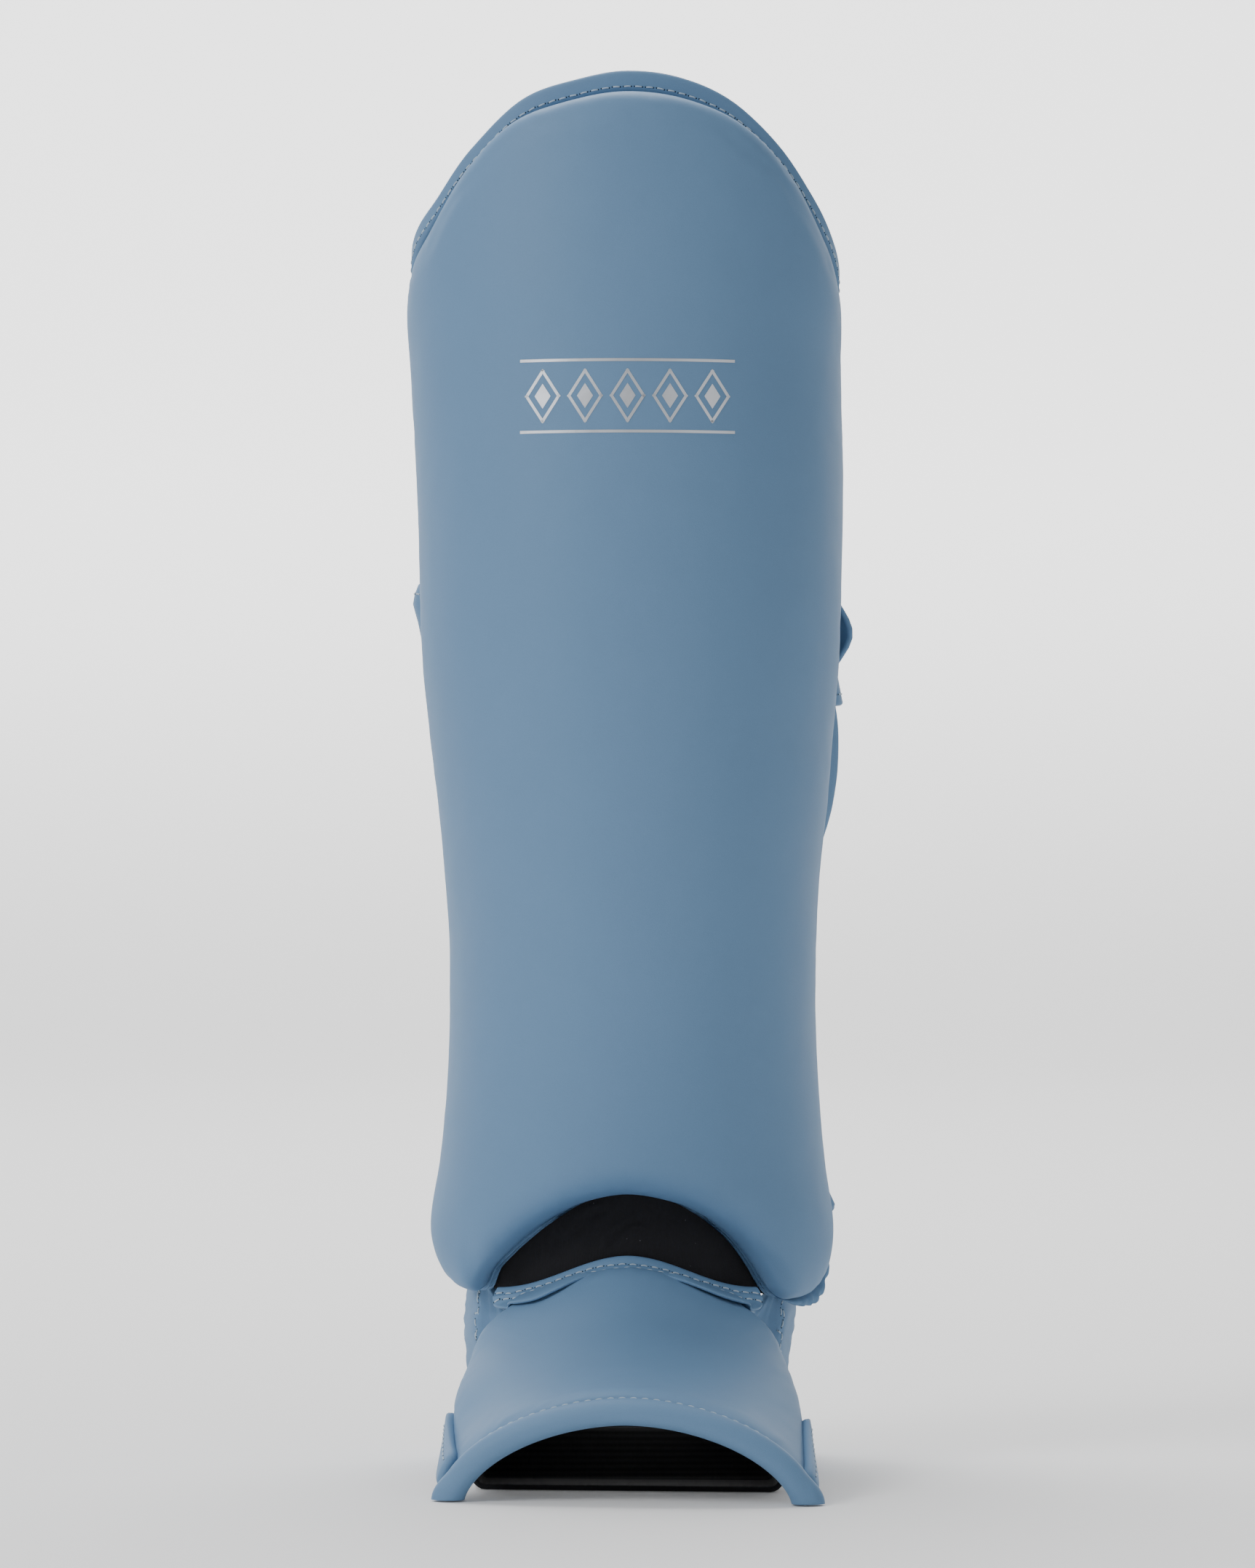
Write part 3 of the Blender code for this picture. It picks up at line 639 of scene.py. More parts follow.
def cloth_lay(points):
    """Distances along and up a grid from its middle, so that a weave keeps its size."""
    along = np.linalg.norm(np.diff(points, axis=1), axis=2).cumsum(axis=1)
    up = np.linalg.norm(np.diff(points, axis=0), axis=2).cumsum(axis=0)
    along = np.pad(along, ((0, 0), (1, 0)))
    up = np.pad(up, ((1, 0), (0, 0)))
    along -= along[:, along.shape[1] // 2][:, None]
    return np.stack((along, up), axis=-1)


def attach(mesh, name, values):
    """Keeps one number for each point of a mesh."""
    attribute = mesh.attributes.new(name, "FLOAT", "POINT")
    attribute.data.foreach_set("value", np.asarray(values, dtype=np.float32))


def fetch(mesh, name):
    values = np.zeros(len(mesh.vertices), dtype=np.float32)
    mesh.attributes[name].data.foreach_get("value", values)
    return values.astype(float)


def add_uv(mesh, place):
    """Lays a UV map with one place for each point."""
    layer = mesh.uv_layers.new(name="weave")
    corners = np.zeros(len(mesh.loops), dtype=np.int32)
    mesh.loops.foreach_get("vertex_index", corners)
    layer.uv.foreach_set("vector", place[corners].astype(np.float32).ravel())


def add_object(name, data):
    piece = bpy.data.objects.new(name, data)
    bpy.context.scene.collection.objects.link(piece)
    return piece


def point_array(mesh):
    points = np.zeros(len(mesh.vertices) * 3)
    mesh.vertices.foreach_get("co", points)
    return points.reshape(-1, 3)


def normal_array(mesh):
    normals = np.zeros(len(mesh.vertices) * 3, dtype=np.float32)
    mesh.vertex_normals.foreach_get("vector", normals)
    return normals.reshape(-1, 3).astype(float)


def move_points(mesh, points):
    mesh.vertices.foreach_set("co", points.ravel())
    mesh.update()


def evaluated_mesh(piece):
    places = bpy.context.evaluated_depsgraph_get()
    return bpy.data.meshes.new_from_object(
        piece.evaluated_get(places), preserve_all_data_layers=True, depsgraph=places)


def bake_modifiers(piece):
    """Puts the result of a piece's modifiers in its mesh."""
    mesh = evaluated_mesh(piece)
    piece.modifiers.clear()
    piece.data = mesh
    mesh.shade_smooth()


def swell(piece, held, limit):
    """Lets the cover swell against its seams with Blender's cloth. held is 1 where a point is
    sewn down, and no point moves further than the limit."""
    mesh = piece.data
    before = point_array(mesh)
    seams = piece.vertex_groups.new(name="Seams")
    for index in np.flatnonzero(held > 0):
        seams.add([int(index)], float(held[index]), "REPLACE")
    modifier = piece.modifiers.new("Swell", "CLOTH")
    cloth = modifier.settings
    for name, value in CLOTH.items():
        setattr(cloth, name, value)
    cloth.vertex_group_mass = seams.name
    cloth.effector_weights.gravity = 0
    modifier.point_cache.frame_start = 1
    modifier.point_cache.frame_end = SIM_FRAMES
    for step in range(1, SIM_FRAMES + 1):
        bpy.context.scene.frame_set(step)
    swollen = evaluated_mesh(piece)
    moved = point_array(swollen) - before
    bpy.data.meshes.remove(swollen)
    piece.modifiers.clear()
    piece.vertex_groups.clear()
    length = np.linalg.norm(moved, axis=1, keepdims=True)
    move_points(mesh, before + moved / np.maximum(1, length / limit))
    bpy.context.scene.frame_set(1)


def subdivide(piece):
    smoother = piece.modifiers.new("Smooth", "SUBSURF")
    smoother.levels = 1
    smoother.render_levels = 1
    bake_modifiers(piece)


def dress(piece, material, slot, *nodes):
    """Gives a piece its material and body, and hides the imported nodes that it stands for. slot is not
    used.
    """
    piece.data.materials.clear()
    piece.data.materials.append(material)
    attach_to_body(piece, PIECE_BODY)
    if nodes:
        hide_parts(*nodes)
    return piece


def dress_cover(piece, *nodes):
    return dress(piece, finish("leather", leather), "cover_blue", *nodes)


class Value:
    """A node's socket, so that maths on it can be written as an expression."""

    def __init__(self, tree, socket):
        self.tree = tree
        self.socket = socket

    def __add__(self, other):
        return self.tree.maths("ADD", self, other)

    __radd__ = __add__

    def __sub__(self, other):
        return self.tree.maths("SUBTRACT", self, other)

    def __rsub__(self, other):
        return self.tree.maths("SUBTRACT", other, self)

    def __mul__(self, other):
        return self.tree.maths("MULTIPLY", self, other)

    __rmul__ = __mul__


class Tree:
    """A node tree that is written in expressions."""

    def __init__(self, nodes, links):
        self.nodes = nodes
        self.links = links

    def node(self, kind, settings=None, inputs=None, output=0):
        """A node with its settings made first, then the values or links of its sockets."""
        node = self.nodes.new(kind)
        for name, setting in (settings or {}).items():
            setattr(node, name, setting)
        for name, value in (inputs or {}).items():
            self.join(node.inputs[name], value)
        return Value(self, node.outputs[output])

    def join(self, socket, value):
        if isinstance(value, Value):
            self.links.new(value.socket, socket)
        else:
            socket.default_value = value

    def maths(self, operation, first, second):
        return self.node("ShaderNodeMath", {"operation": operation}, {0: first, 1: second})

    def blend(self, first, second, share):
        """A colour between two colours."""
        node = self.node("ShaderNodeMix", {"data_type": "RGBA"}, {"Factor": share}, 2)
        sockets = node.socket.node.inputs
        self.join(sockets[6], first)
        self.join(sockets[7], second)
        return node

    def noise(self, where, size, detail):
        """Noise with features about size metres wide."""
        return self.node("ShaderNodeTexNoise", None, {
            "Vector": where, "Scale": 1 / size, "Detail": detail})

    def pebbles(self, where, size):
        return self.node("ShaderNodeTexVoronoi", None, {"Vector": where, "Scale": 1 / size})

    def bands(self, where, direction, scale, distortion):
        """Even bands across a direction of a weave."""
        return self.node(
            "ShaderNodeTexWave", {"wave_type": "BANDS", "bands_direction": direction}, {
                "Vector": where, "Scale": scale, "Distortion": distortion, "Detail": 1.0}, "Fac")

    def spread(self, value, low, high):
        """0 below low, 1 above high, eased between them."""
        return self.node("ShaderNodeMapRange", {"interpolation_type": "SMOOTHSTEP"}, {
            "Value": value, "From Min": low, "From Max": high})


class Finish(Tree):
    """A material on the principled shader."""

    def __init__(self, name, roughness, metallic=0.0, specular=0.5):
        self.material = bpy.data.materials.new(name)
        self.material.use_nodes = True
        tree = self.material.node_tree
        super().__init__(tree.nodes, tree.links)
        self.shader = tree.nodes["Principled BSDF"]
        self.shader.inputs["Roughness"].default_value = roughness
        self.shader.inputs["Metallic"].default_value = metallic
        self.shader.inputs["Specular IOR Level"].default_value = specular

    def place(self):
        """Object coordinates, in metres."""
        return self.node("ShaderNodeTexCoord", None, None, "Object")

    def weave(self):
        """The piece's own weave map, in metres."""
        return self.node("ShaderNodeUVMap", {"uv_map": "weave"}, None, "UV")

    def paint(self, colour):
        self.join(self.shader.inputs["Base Color"], colour)

    def polish(self, roughness):
        self.join(self.shader.inputs["Roughness"], roughness)

    def relief(self, height, depth, strength):
        """Bumps of a height from 0 to 1, depth metres deep."""
        bump = self.node("ShaderNodeBump", None, {
            "Strength": strength, "Distance": depth, "Height": height})
        self.join(self.shader.inputs["Normal"], bump)


def rgba(colour, share):
    return (*(part * share for part in colour), 1.0)


FINISHES = {}


def finish(name, maker):
    """A finish, made once."""
    if name not in FINISHES:
        FINISHES[name] = maker().material
    return FINISHES[name]


def leather():
    """Matt blue synthetic leather with a fine pebble grain."""
    skin = Finish("blue_synthetic_leather", 0.55, specular=0.25)
    where = skin.place()
    grain = sizes().grain
    blotch = skin.noise(where, 0.035, 3)
    fine = skin.noise(where, grain * 0.7, 2)
    pebble = skin.pebbles(where, grain)
    shade = blotch * 0.10 + fine * 0.10 + skin.spread(pebble, 0.1, 0.7) * 0.05
    colour = colours().cover
    skin.paint(skin.blend(rgba(colour, 0.93), rgba(colour, 1.09), shade * 4.0))
    skin.polish(0.50 + 0.12 * blotch)
    skin.relief(pebble * 0.5 + fine * 0.5, 0.00006, 0.55)
    return skin


def knit():
    """Fine black knitted lining with a few pale specks of lint."""
    cloth = Finish("black_knit_lining", 0.9, specular=0.25)
    where = cloth.place()
    fuzz = cloth.noise(where, 0.0007, 3)
    patches = cloth.noise(where, 0.012, 2)
    lint = cloth.pebbles(where, 0.0042)
    speck = 1 - cloth.spread(lint, 0.025, 0.055)
    colour = colours().lining
    base = cloth.blend(rgba(colour, 0.8), rgba(colour, 1.7), fuzz * 0.6 + patches * 0.5)
    cloth.paint(cloth.blend(base, (0.11, 0.11, 0.12, 1), speck * 0.8))
    loops = cloth.bands(cloth.weave(), "X", 300.0, 1.5)
    cloth.relief(loops * 0.4 + fuzz * 0.6, 0.00012, 0.7)
    return cloth


def elastic():
    """Black woven elastic: ribs along the band and a fuzzy weave."""
    band = Finish("black_woven_elastic", 0.85, specular=0.3)
    uv = band.weave()
    rib = band.bands(uv, "Y", 95.0, 0.4)
    pick = band.bands(uv, "X", 210.0, 0.6)
    fuzz = band.noise(band.place(), 0.0006, 3)
    colour = colours().lining
    band.paint(band.blend(rgba(colour, 0.6), rgba(colour, 1.6), rib * 0.5 + fuzz * 0.5))
    band.relief(rib * 0.6 + pick * 0.3 + fuzz * 0.2, 0.00025, 0.7)
    return band


def thread():
    """Pale twisted sewing thread."""
    yarn = Finish("pale_sewing_thread", 0.6)
    twist = yarn.noise(yarn.place(), 0.0004, 1)
    colour = colours().thread
    yarn.paint(yarn.blend(rgba(colour, 0.8), rgba(colour, 1.15), twist))
    yarn.relief(twist, 0.0001, 0.5)
    return yarn


def needle_hole_shade():
    """Painted shade of a needle hole: the dark dip where a stitch goes through the cover, coloured as
    the cover in shade.
    """
    dip = Finish("needle_hole_shade", 0.9, specular=0.1)
    shade = dip.noise(dip.place(), 0.0006, 1)
    colour = colours().cover
    # Painted shade: the cover's colour darkened to between 8 and 22 per cent for the holes' dips
    dip.paint(dip.blend(rgba(colour, 0.08), rgba(colour, 0.22), shade))
    return dip


def foil():
    """Silver foil print, a little crazed over the cover's grain."""
    print_ink = Finish("silver_foil_print", 0.38, metallic=0.75)
    where = print_ink.place()
    craze = print_ink.noise(where, 0.0012, 4)
    drift = print_ink.noise(where, 0.02, 2)
    colour = colours().foil
    print_ink.paint(print_ink.blend(rgba(colour, 0.82), rgba(colour, 1.2), drift * 0.7 + craze * 0.3))
    print_ink.polish(0.3 + 0.25 * craze)
    print_ink.relief(craze, 0.00005, 0.5)
    return print_ink


def paper():
    """The studio's matt white sweep, with painted light: it glows faintly on the floor and more and more
    up the backdrop.
    """
    sheet = Finish("studio_paper", 0.8, specular=0.2)
    drift = sheet.noise(sheet.place(), 0.6, 2)
    colour = colours().paper
    sheet.paint(sheet.blend(rgba(colour, 0.985), rgba(colour, 1.0), drift))
    # Painted light: emission that rises with height, brightening the backdrop and casting light on the
    # guard
    parts = sheet.node("ShaderNodeSeparateXYZ", None, {"Vector": sheet.place()}, "Z")
    glow = sheet.spread(parts, -0.06, 0.55)
    glow = sheet.blend((0, 0, 0, 1), (1, 1, 1, 1), glow)
    sheet.join(sheet.shader.inputs["Emission Color"], glow)
    sheet.shader.inputs["Emission Strength"].default_value = BACKDROP_GLOW
    return sheet


# Studio: the camera is level, and its distance and focal length are those of the view
CAMERA_BACK = 2.515
CAMERA_HEIGHT = 0.242
IMAGE_HEIGHT = 2156
FOCAL_PIXELS = 9610
SENSOR = 36.0
# It lies further out than the camera stands, so that it hides nothing from any side.
SWEEP_WIDTH = 4.4
# Strength of the sweep's painted glow
BACKDROP_GLOW = 1.5
SWEEP_FRONT = -4.4
SWEEP_BACK = 3.2
SWEEP_RADIUS = 0.9
SWEEP_TOP = 4.2
SWEEP_STEPS = 24
WORLD_STRENGTH = 0.40
Lamp = namedtuple("Lamp", "name place aim size watts")
LAMPS = (
    Lamp("key_softbox", (-1.7, -1.3, 1.5), (0.0, 0.0, 0.24), 1.1, 32.0),
    Lamp("top_softbox", (-0.2, 0.75, 2.1), (0.0, 0.0, 0.2), 1.5, 46.0),
    Lamp("fill_softbox", (1.7, -1.8, 1.0), (0.0, 0.0, 0.2), 1.4, 4.0),
    Lamp("backdrop_light", (-0.3, 1.8, 2.6), (0.0, 4.0, 1.1), 1.2, 80.0),
)


class GUARD_OT_stage(bpy.types.Operator):
    """Make the floor, backdrop, lights and camera."""

    bl_idname = "guard.stage"
    bl_label = "Stage"

    def execute(self, context):
        add_sweep()
        for lamp in LAMPS:
            add_lamp(lamp)
        light_world()
        add_camera(context.scene)
        return {"FINISHED"}


def add_sweep():
    """Floor and backdrop in one sheet."""
    turn = np.linspace(0, math.pi / 2, SWEEP_STEPS + 1)
    profile = [(SWEEP_FRONT, 0.0), (-1.0, 0.0), (0.0, 0.0)]
    profile += [
        (SWEEP_BACK + SWEEP_RADIUS * math.sin(a), SWEEP_RADIUS * (1 - math.cos(a))) for a in turn]
    profile.append((SWEEP_BACK + SWEEP_RADIUS, SWEEP_TOP))
    mesh = bpy.data.meshes.new("studio_sweep")
    points = [(side * SWEEP_WIDTH, y, z) for y, z in profile for side in (-1, 1)]
    faces = [(2 * i, 2 * i + 1, 2 * i + 3, 2 * i + 2) for i in range(len(profile) - 1)]
    mesh.from_pydata(points, [], faces)
    mesh.materials.append(finish("paper", paper))
    mesh.shade_smooth()
    add_object("studio_sweep", mesh)


def add_lamp(lamp):
    data = bpy.data.lights.new(lamp.name, "AREA")
    data.shape = "DISK"
    data.size = lamp.size
    data.energy = lamp.watts
    light = add_object(lamp.name, data)
    light.location = lamp.place
    light.rotation_euler = (Vector(lamp.aim) - Vector(lamp.place)).to_track_quat("-Z", "Y").to_euler()


def light_world():
    world = bpy.data.worlds.new("studio")
    bpy.context.scene.world = world
    world.use_nodes = True
    background = world.node_tree.nodes["Background"]
    background.inputs["Color"].default_value = (1, 1, 1, 1)
    background.inputs["Strength"].default_value = WORLD_STRENGTH


def add_camera(scene):
    data = bpy.data.cameras.new("camera")
    data.sensor_fit = "VERTICAL"
    data.sensor_height = SENSOR
    data.lens = FOCAL_PIXELS / IMAGE_HEIGHT * SENSOR
    camera = add_object("camera", data)
    camera.location = (STAND[0], STAND[1] - CAMERA_BACK, CAMERA_HEIGHT)
    camera.rotation_euler = (math.pi / 2, 0, 0)
    scene.camera = camera


SHIN_COLUMN_COUNT = 84
SHIN_ROW_COUNT = 132
SHIN_HEM = 0.36
UNDERCUT = 0.010
SHRINK = 0.0008
CREASE_RUN = 0.0075
CREASE_WIDTH = 0.0028
CREASE_DEPTH = 0.0005
PUCKER_WAVE = 0.0105
PUCKER_FADE = 0.0060
CREASE_TURNS = (0.45, 0.8)
GATHER_SIZE = 0.012
GATHER_SHIFT = 5
GATHER_MEAN = 0.6
SEAM_FADE = 0.003
SHIN_SEWN = (0.001, 0.007)


class GUARD_OT_shin_pad(bpy.types.Operator):
    """Make the long foam pad with its rounded, gathered edges."""

    bl_idname = "guard.shin_pad"
    bl_label = "Shin pad"

    def execute(self, context):
        def outer(turn, share):
            height = shin_height(turn, share)
            return lifted(shin_base, turn, height, shin_pad_lift(turn, height) - SHRINK)

        def inner(turn, share):
            turn = turn * (1 - UNDERCUT)
            return lifted(shin_base, turn, shin_height(turn, mix(share, 0.5, UNDERCUT)), 0.0)

        turns = half_eased(SHIN_COLUMN_COUNT, -1, 1)
        shares = half_eased(SHIN_ROW_COUNT, 0, 1)
        pad = closed_shell("shin_pad_cover", turns, shares, outer, inner, SHIN_HEM)
        mesh = pad.data
        turn, share, cover = fetch(mesh, "u"), fetch(mesh, "v"), fetch(mesh, "cover")
        runs = shin_runs(turn, shin_height(turn, share))
        sewn = 1 - smooth(np.minimum.reduce(runs), *SHIN_SEWN)
        swell(pad, np.where(cover > 0.9, sewn, 1.0), sizes().puff)
        subdivide(pad)
        relieve_shin(pad.data)
        dress_cover(pad, "shin_pad")
        return {"FINISHED"}


def shin_runs(turn, height):
    """Distances from the pad's side, dome and arch edges."""
    side = np.maximum(1 - np.abs(turn), 0) * QUARTER_ARC
    return side, edge_run(dome, turn, height), edge_run(arch, turn, height)


def relieve_shin(mesh):
    """Adds the pad's small shapes: gathers at the seams, the soft crease under the dome, the
    dents of the lobes and a slight unevenness."""
    turn, share, cover = fetch(mesh, "u"), fetch(mesh, "v"), fetch(mesh, "cover")
    height = shin_height(turn, share)
    side, top, low = shin_runs(turn, height)
    points = point_array(mesh)
    run = np.minimum.reduce((side, top, low))
    lift, drift = gathers(points, run, turn * QUARTER_ARC + height * SHIN_HEIGHT, 3.0)
    crease = np.exp(-(((top - CREASE_RUN * (1 + 0.25 * drift)) / CREASE_WIDTH) ** 2))
    lift -= CREASE_DEPTH * crease * (1 - smooth(np.abs(turn), *CREASE_TURNS))
    for dent in SHIN_DENTS:
        away = np.hypot(points[:, 0] - STAND[0] - dent.x, points[:, 2] - dent.z)
        lift -= dent.depth * np.exp(-((away / dent.radius) ** 2)) * (points[:, 1] < STAND[1])
    raise_cover(mesh, points, lift + rippled(points, SHIN_RIPPLES), cover, run)


def gathers(points, run, along, seed):
    """Small gathers along the seams, and the drift that makes them uneven."""
    drift = waves(points, GATHER_SIZE, seed)
    wave = np.sin(2 * math.pi * along / PUCKER_WAVE + GATHER_SHIFT * drift)
    return sizes().pucker * wave * (GATHER_MEAN + drift) * np.exp(-run / PUCKER_FADE), drift


def rippled(points, ripples):
    return sum(ripple.height * waves(points, ripple.scale, ripple.seed) for ripple in ripples)


def raise_cover(mesh, points, lift, cover, run):
    """Moves the outer face by a lift that fades at the seams."""
    keep = smooth(cover, 0.3, 1.0) * smooth(run, 0.0, SEAM_FADE)
    move_points(mesh, points + normal_array(mesh) * (lift * keep)[:, None])


BORDER_COLUMN_COUNT = 150
BORDER_ROW_COUNT = 220
FLANGE_STEPS = 8
HEM_STEPS = 5
FLANGE_WAVE = 0.0007
FLANGE_WAVE_SIZE = 0.022
LOBE_GATHER = 0.0006
LOBE_GATHER_PITCH = 0.0042
LOBE_GATHER_TURNS = (0.62, 0.75)


class GUARD_OT_shin_border(bpy.types.Operator):
    """Make the backing, whose flange frames the pad."""

    bl_idname = "guard.shin_border"
    bl_label = "Shin border"

    def execute(self, context):
        inside = half_eased(BORDER_COLUMN_COUNT, -1, 1)
        beyond = np.linspace(1, 1 + FLANGE / QUARTER_ARC, FLANGE_STEPS)[1:]
        turns = np.concatenate((-beyond[::-1], inside, beyond))
        shares = half_eased(BORDER_ROW_COUNT, 0, 1)
        hems = np.linspace(1, 2, FLANGE_STEPS + 1)[1:]
        shares = np.concatenate((np.linspace(-1, 0, HEM_STEPS)[:-1], shares, hems))
        faces = walls(border_point, -GAP, -GAP - BORDER_WALL)
        border = closed_shell("shin_border_cover", turns, shares, *faces, BAND_HEM)
        dress_cover(border, "shin_border")
        return {"FINISHED"}


def border_point(turn, share, lift):
    """A point of the backing. Shares under 0 and over 1 are its hem and flange."""
    lobe = ramp(np.abs(turn), *LOBE_TURNS)
    low_hem = mix(-ARCH_TUCK, np.where(turn > 0, LOBE_HEM_RIGHT, LOBE_HEM), lobe)
    hem = np.where(share < 0, low_hem, FLANGE)
    corner = np.clip((np.abs(turn) - 1) * QUARTER_ARC / FLANGE, 0, 1)
    hem = hem * mix(1, FLANGE_CORNER, smooth(corner, 0, 1))
    height = shin_height(turn, np.clip(share, 0, 1))
    height = height + hem / SHIN_HEIGHT * (np.minimum(share, 0) + np.maximum(share - 1, 0))
    above = np.clip(share - 1, 0, 1)
    below = np.clip(-share, 0, 1) * lobe
    outside = np.maximum(np.maximum(corner, above), below)
    where = shin_base(turn, height)
    wave = FLANGE_WAVE * outside * waves(where, FLANGE_WAVE_SIZE, 5.0)
    lean = read(FLANGE_LIFT, "dome", np.abs(turn)) * smooth(above, 0, 0.4)
    lean = lean + by_side(LOBE_LIFT, np.abs(turn), turn) * smooth(below, 0, 0.6)
    gather = smooth(np.abs(turn), *LOBE_GATHER_TURNS) * (turn > 0) * below * LOBE_GATHER
    wave = wave + gather * np.sin(2 * math.pi * turn * QUARTER_ARC / LOBE_GATHER_PITCH)
    return lifted(shin_base, turn, height, lift + wave + lean)


LINING_COLUMN_COUNT = 130
LINING_ROW_COUNT = 90
LINING_LOW_COUNT = 40
LINING_END = 0.92
LINING_TOP = 0.99
LOBE_START = 0.0123
LOBE_RUN = 0.0545
FOLD_BOW = 0.0012
FOLD_LIMITS = (-0.0006, 0.0025)
LINING_RIPPLE = Ripple(0.0003, 0.011, 2.0)
SHOWN_TURNS = (0.38, 0.46)
SHOWN_TOP = 0.110
SHOWN_FADE = 0.01


class GUARD_OT_leg_lining(bpy.types.Operator):
    """Make the black lining, which shows in the cut-out above the instep."""

    bl_idname = "guard.leg_lining"
    bl_label = "Leg lining"

    def execute(self, context):
        def height_at(turn, share):
            lobe = ramp(np.abs(turn), *LINING_TURNS)
            foot = LINING_FOOT / SHIN_HEIGHT
            middle = np.where(
                share >= 0, shin_height(turn, np.maximum(share, 0)), mix(arch(turn), foot, -share))
            drawn = mix(LOBE_START, LOBE_RUN, np.clip(share / LOBE_RUN, 0, 1))
            return mix(middle, shin_height(turn, np.maximum(share, drawn)), lobe)

        def point(turn, share, lift):
            inset = lining_inset(turn) - lift
            return wrinkled(lifted(shin_base, turn, height_at(turn, share), -inset), turn)

        turns = half_eased(LINING_COLUMN_COUNT, -LINING_END, LINING_END)
        low = np.linspace(-1, 0, LINING_LOW_COUNT + 1)[:-1]
        shares = np.concatenate((low, half_eased(LINING_ROW_COUNT, 0, LINING_TOP)))
        lining = closed_shell("leg_lining_cloth", turns, shares, *walls(point, 0, -LINING_WALL))
        dress(lining, finish("knit", knit), "lining_black", "leg_lining")
        return {"FINISHED"}


def lining_inset(turn):
    """How far the lining lies behind the pad's inner face."""
    return BORDER_WALL + mix(2, 6, ramp(np.abs(turn), *LINING_INSET_TURNS)) * GAP


def wrinkled(points, turn):
    """Points of the lining with its folds in the cut-out pressed in."""
    x, z = points[..., 0], points[..., 2]
    push = np.zeros_like(x)
    for fold in LINING_FOLDS:
        run = np.array((fold.x1 - fold.x0, fold.z1 - fold.z0))
        length = np.linalg.norm(run)
        run /= length
        along = (x - fold.x0) * run[0] + (z - fold.z0) * run[1]
        bowed = FOLD_BOW * np.sin(math.pi * np.clip(along / length, 0, 1))
        square = (x - fold.x0) * run[1] - (z - fold.z0) * run[0] + bowed
        ends = smooth(along, -0.003, 0.002) * (1 - smooth(along, length - 0.002, length + 0.003))
        near = square / fold.width
        push += fold.depth * ends * near * np.exp(0.5 - near * near * 0.9)
    push += rippled(points, (LINING_RIPPLE,))
    shown = (1 - smooth(np.abs(turn), *SHOWN_TURNS)) * smooth(SHOWN_TOP - z, 0, SHOWN_FADE)
    moved = points.copy()
    moved[..., 1] += np.clip(push, *FOLD_LIMITS) * shown
    return moved


INSTEP_COLUMN_COUNT = 84
INSTEP_ROW_COUNT = 64
INSTEP_SEWN = (0.001, 0.008)
INSTEP_LINING_COLUMNS = 90
INSTEP_LINING_ROWS = 80
INSTEP_HEM = 0.35
RIM_COLUMN_COUNT = 150
RIM_END = 0.985
RIM_TIP = 0.0045
RIM_TIP_RINGS = 6
RIM_FLOOR = 0.0006
TIP_GROWTH = 0.3
TIP_ACROSS = (0.80, 0.97)
TAPE_COLUMN_COUNT = 150
TAPE_ROW_COUNT = 22
TAPE_WALL = 0.0013
FLAP_CURL = 0.0010
TAPE_SINK = 0.0018
TAPE_GROOVE = 0.0005
TAPE_ROWS = (0.026, 0.058)
TAPE_STEP = (0.035, 0.075)
TAPE_PROUD = 0.75
FLAP_START = 0.45
GROOVE_WIDTH = 0.008
BINDING_START = 0.75


class GUARD_OT_instep(bpy.types.Operator):
    """Make the saddle-shaped instep pad, its lining, the tape on its ankle edge and its rim."""

    bl_idname = "guard.instep"
    bl_label = "Instep"

    def execute(self, context):
        add_instep_pad()
        add_instep_lining()
        add_tape()
        add_rim()
        return {"FINISHED"}


def add_instep_pad():
    def outer(column, rise):
        lift = pad_cover_lift(column, -rise) - SHRINK
        return instep_point(column * pad_reach(-rise), -rise, lift)

    def inner(column, rise):
        return instep_point(column * pad_reach(-rise), -rise, 0.0)

    columns = half_eased(INSTEP_COLUMN_COUNT, -1, 1)
    rows = -half_eased(INSTEP_ROW_COUNT, 1, BINDING_SHARE + GAP / INSTEP_REACH)
    pad = closed_shell("instep_pad_cover", columns, rows, outer, inner, INSTEP_HEM)
    mesh = pad.data
    across, along, cover = fetch(mesh, "u"), -fetch(mesh, "v"), fetch(mesh, "cover")
    run = instep_run(across, along)
    sewn = 1 - smooth(run, *INSTEP_SEWN)
    swell(pad, np.where(cover > 0.9, sewn, 1.0), sizes().puff)
    subdivide(pad)
    relieve_instep(pad.data)
    dress_cover(pad, "instep_pad")


def instep_run(across, along):
    """Distance from the nearest edge of the instep pad."""
    side = np.maximum(1 - np.abs(across), 0) * INSTEP_HALF_WIDTH * INSTEP_ARC
    toes = np.maximum(1 - along, 0) * INSTEP_REACH
    ankle = np.maximum(along - BINDING_SHARE, 0) * INSTEP_REACH
    return np.minimum.reduce((side, toes, ankle))


def relieve_instep(mesh):
    """Adds the instep's gathers at the seams and a slight unevenness."""
    across, along, cover = fetch(mesh, "u"), -fetch(mesh, "v"), fetch(mesh, "cover")
    points = point_array(mesh)
    run = instep_run(across, along)
    place = across * INSTEP_HALF_WIDTH * INSTEP_ARC + along * INSTEP_REACH
    lift, _ = gathers(points, run, place, 9.0)
    raise_cover(mesh, points, lift + rippled(points, INSTEP_RIPPLES), cover, run)


def add_instep_lining():
    def reach(along):
        return mix(LINING_REACH, 1, smooth(along, BINDING_SHARE, ANKLE_REACH_END))

    def point(column, rise, lift):
        return instep_point(column * reach(-rise), -rise, lift)

    columns = half_eased(INSTEP_LINING_COLUMNS, -1, 1)
    rows = -half_eased(INSTEP_LINING_ROWS, 1, 0)
    faces = walls(point, -GAP, -GAP - LINING_WALL)
    lining = closed_shell("instep_lining_cloth", columns, rows, *faces)
    dress(lining, finish("knit", knit), "lining_black", "instep_lining")


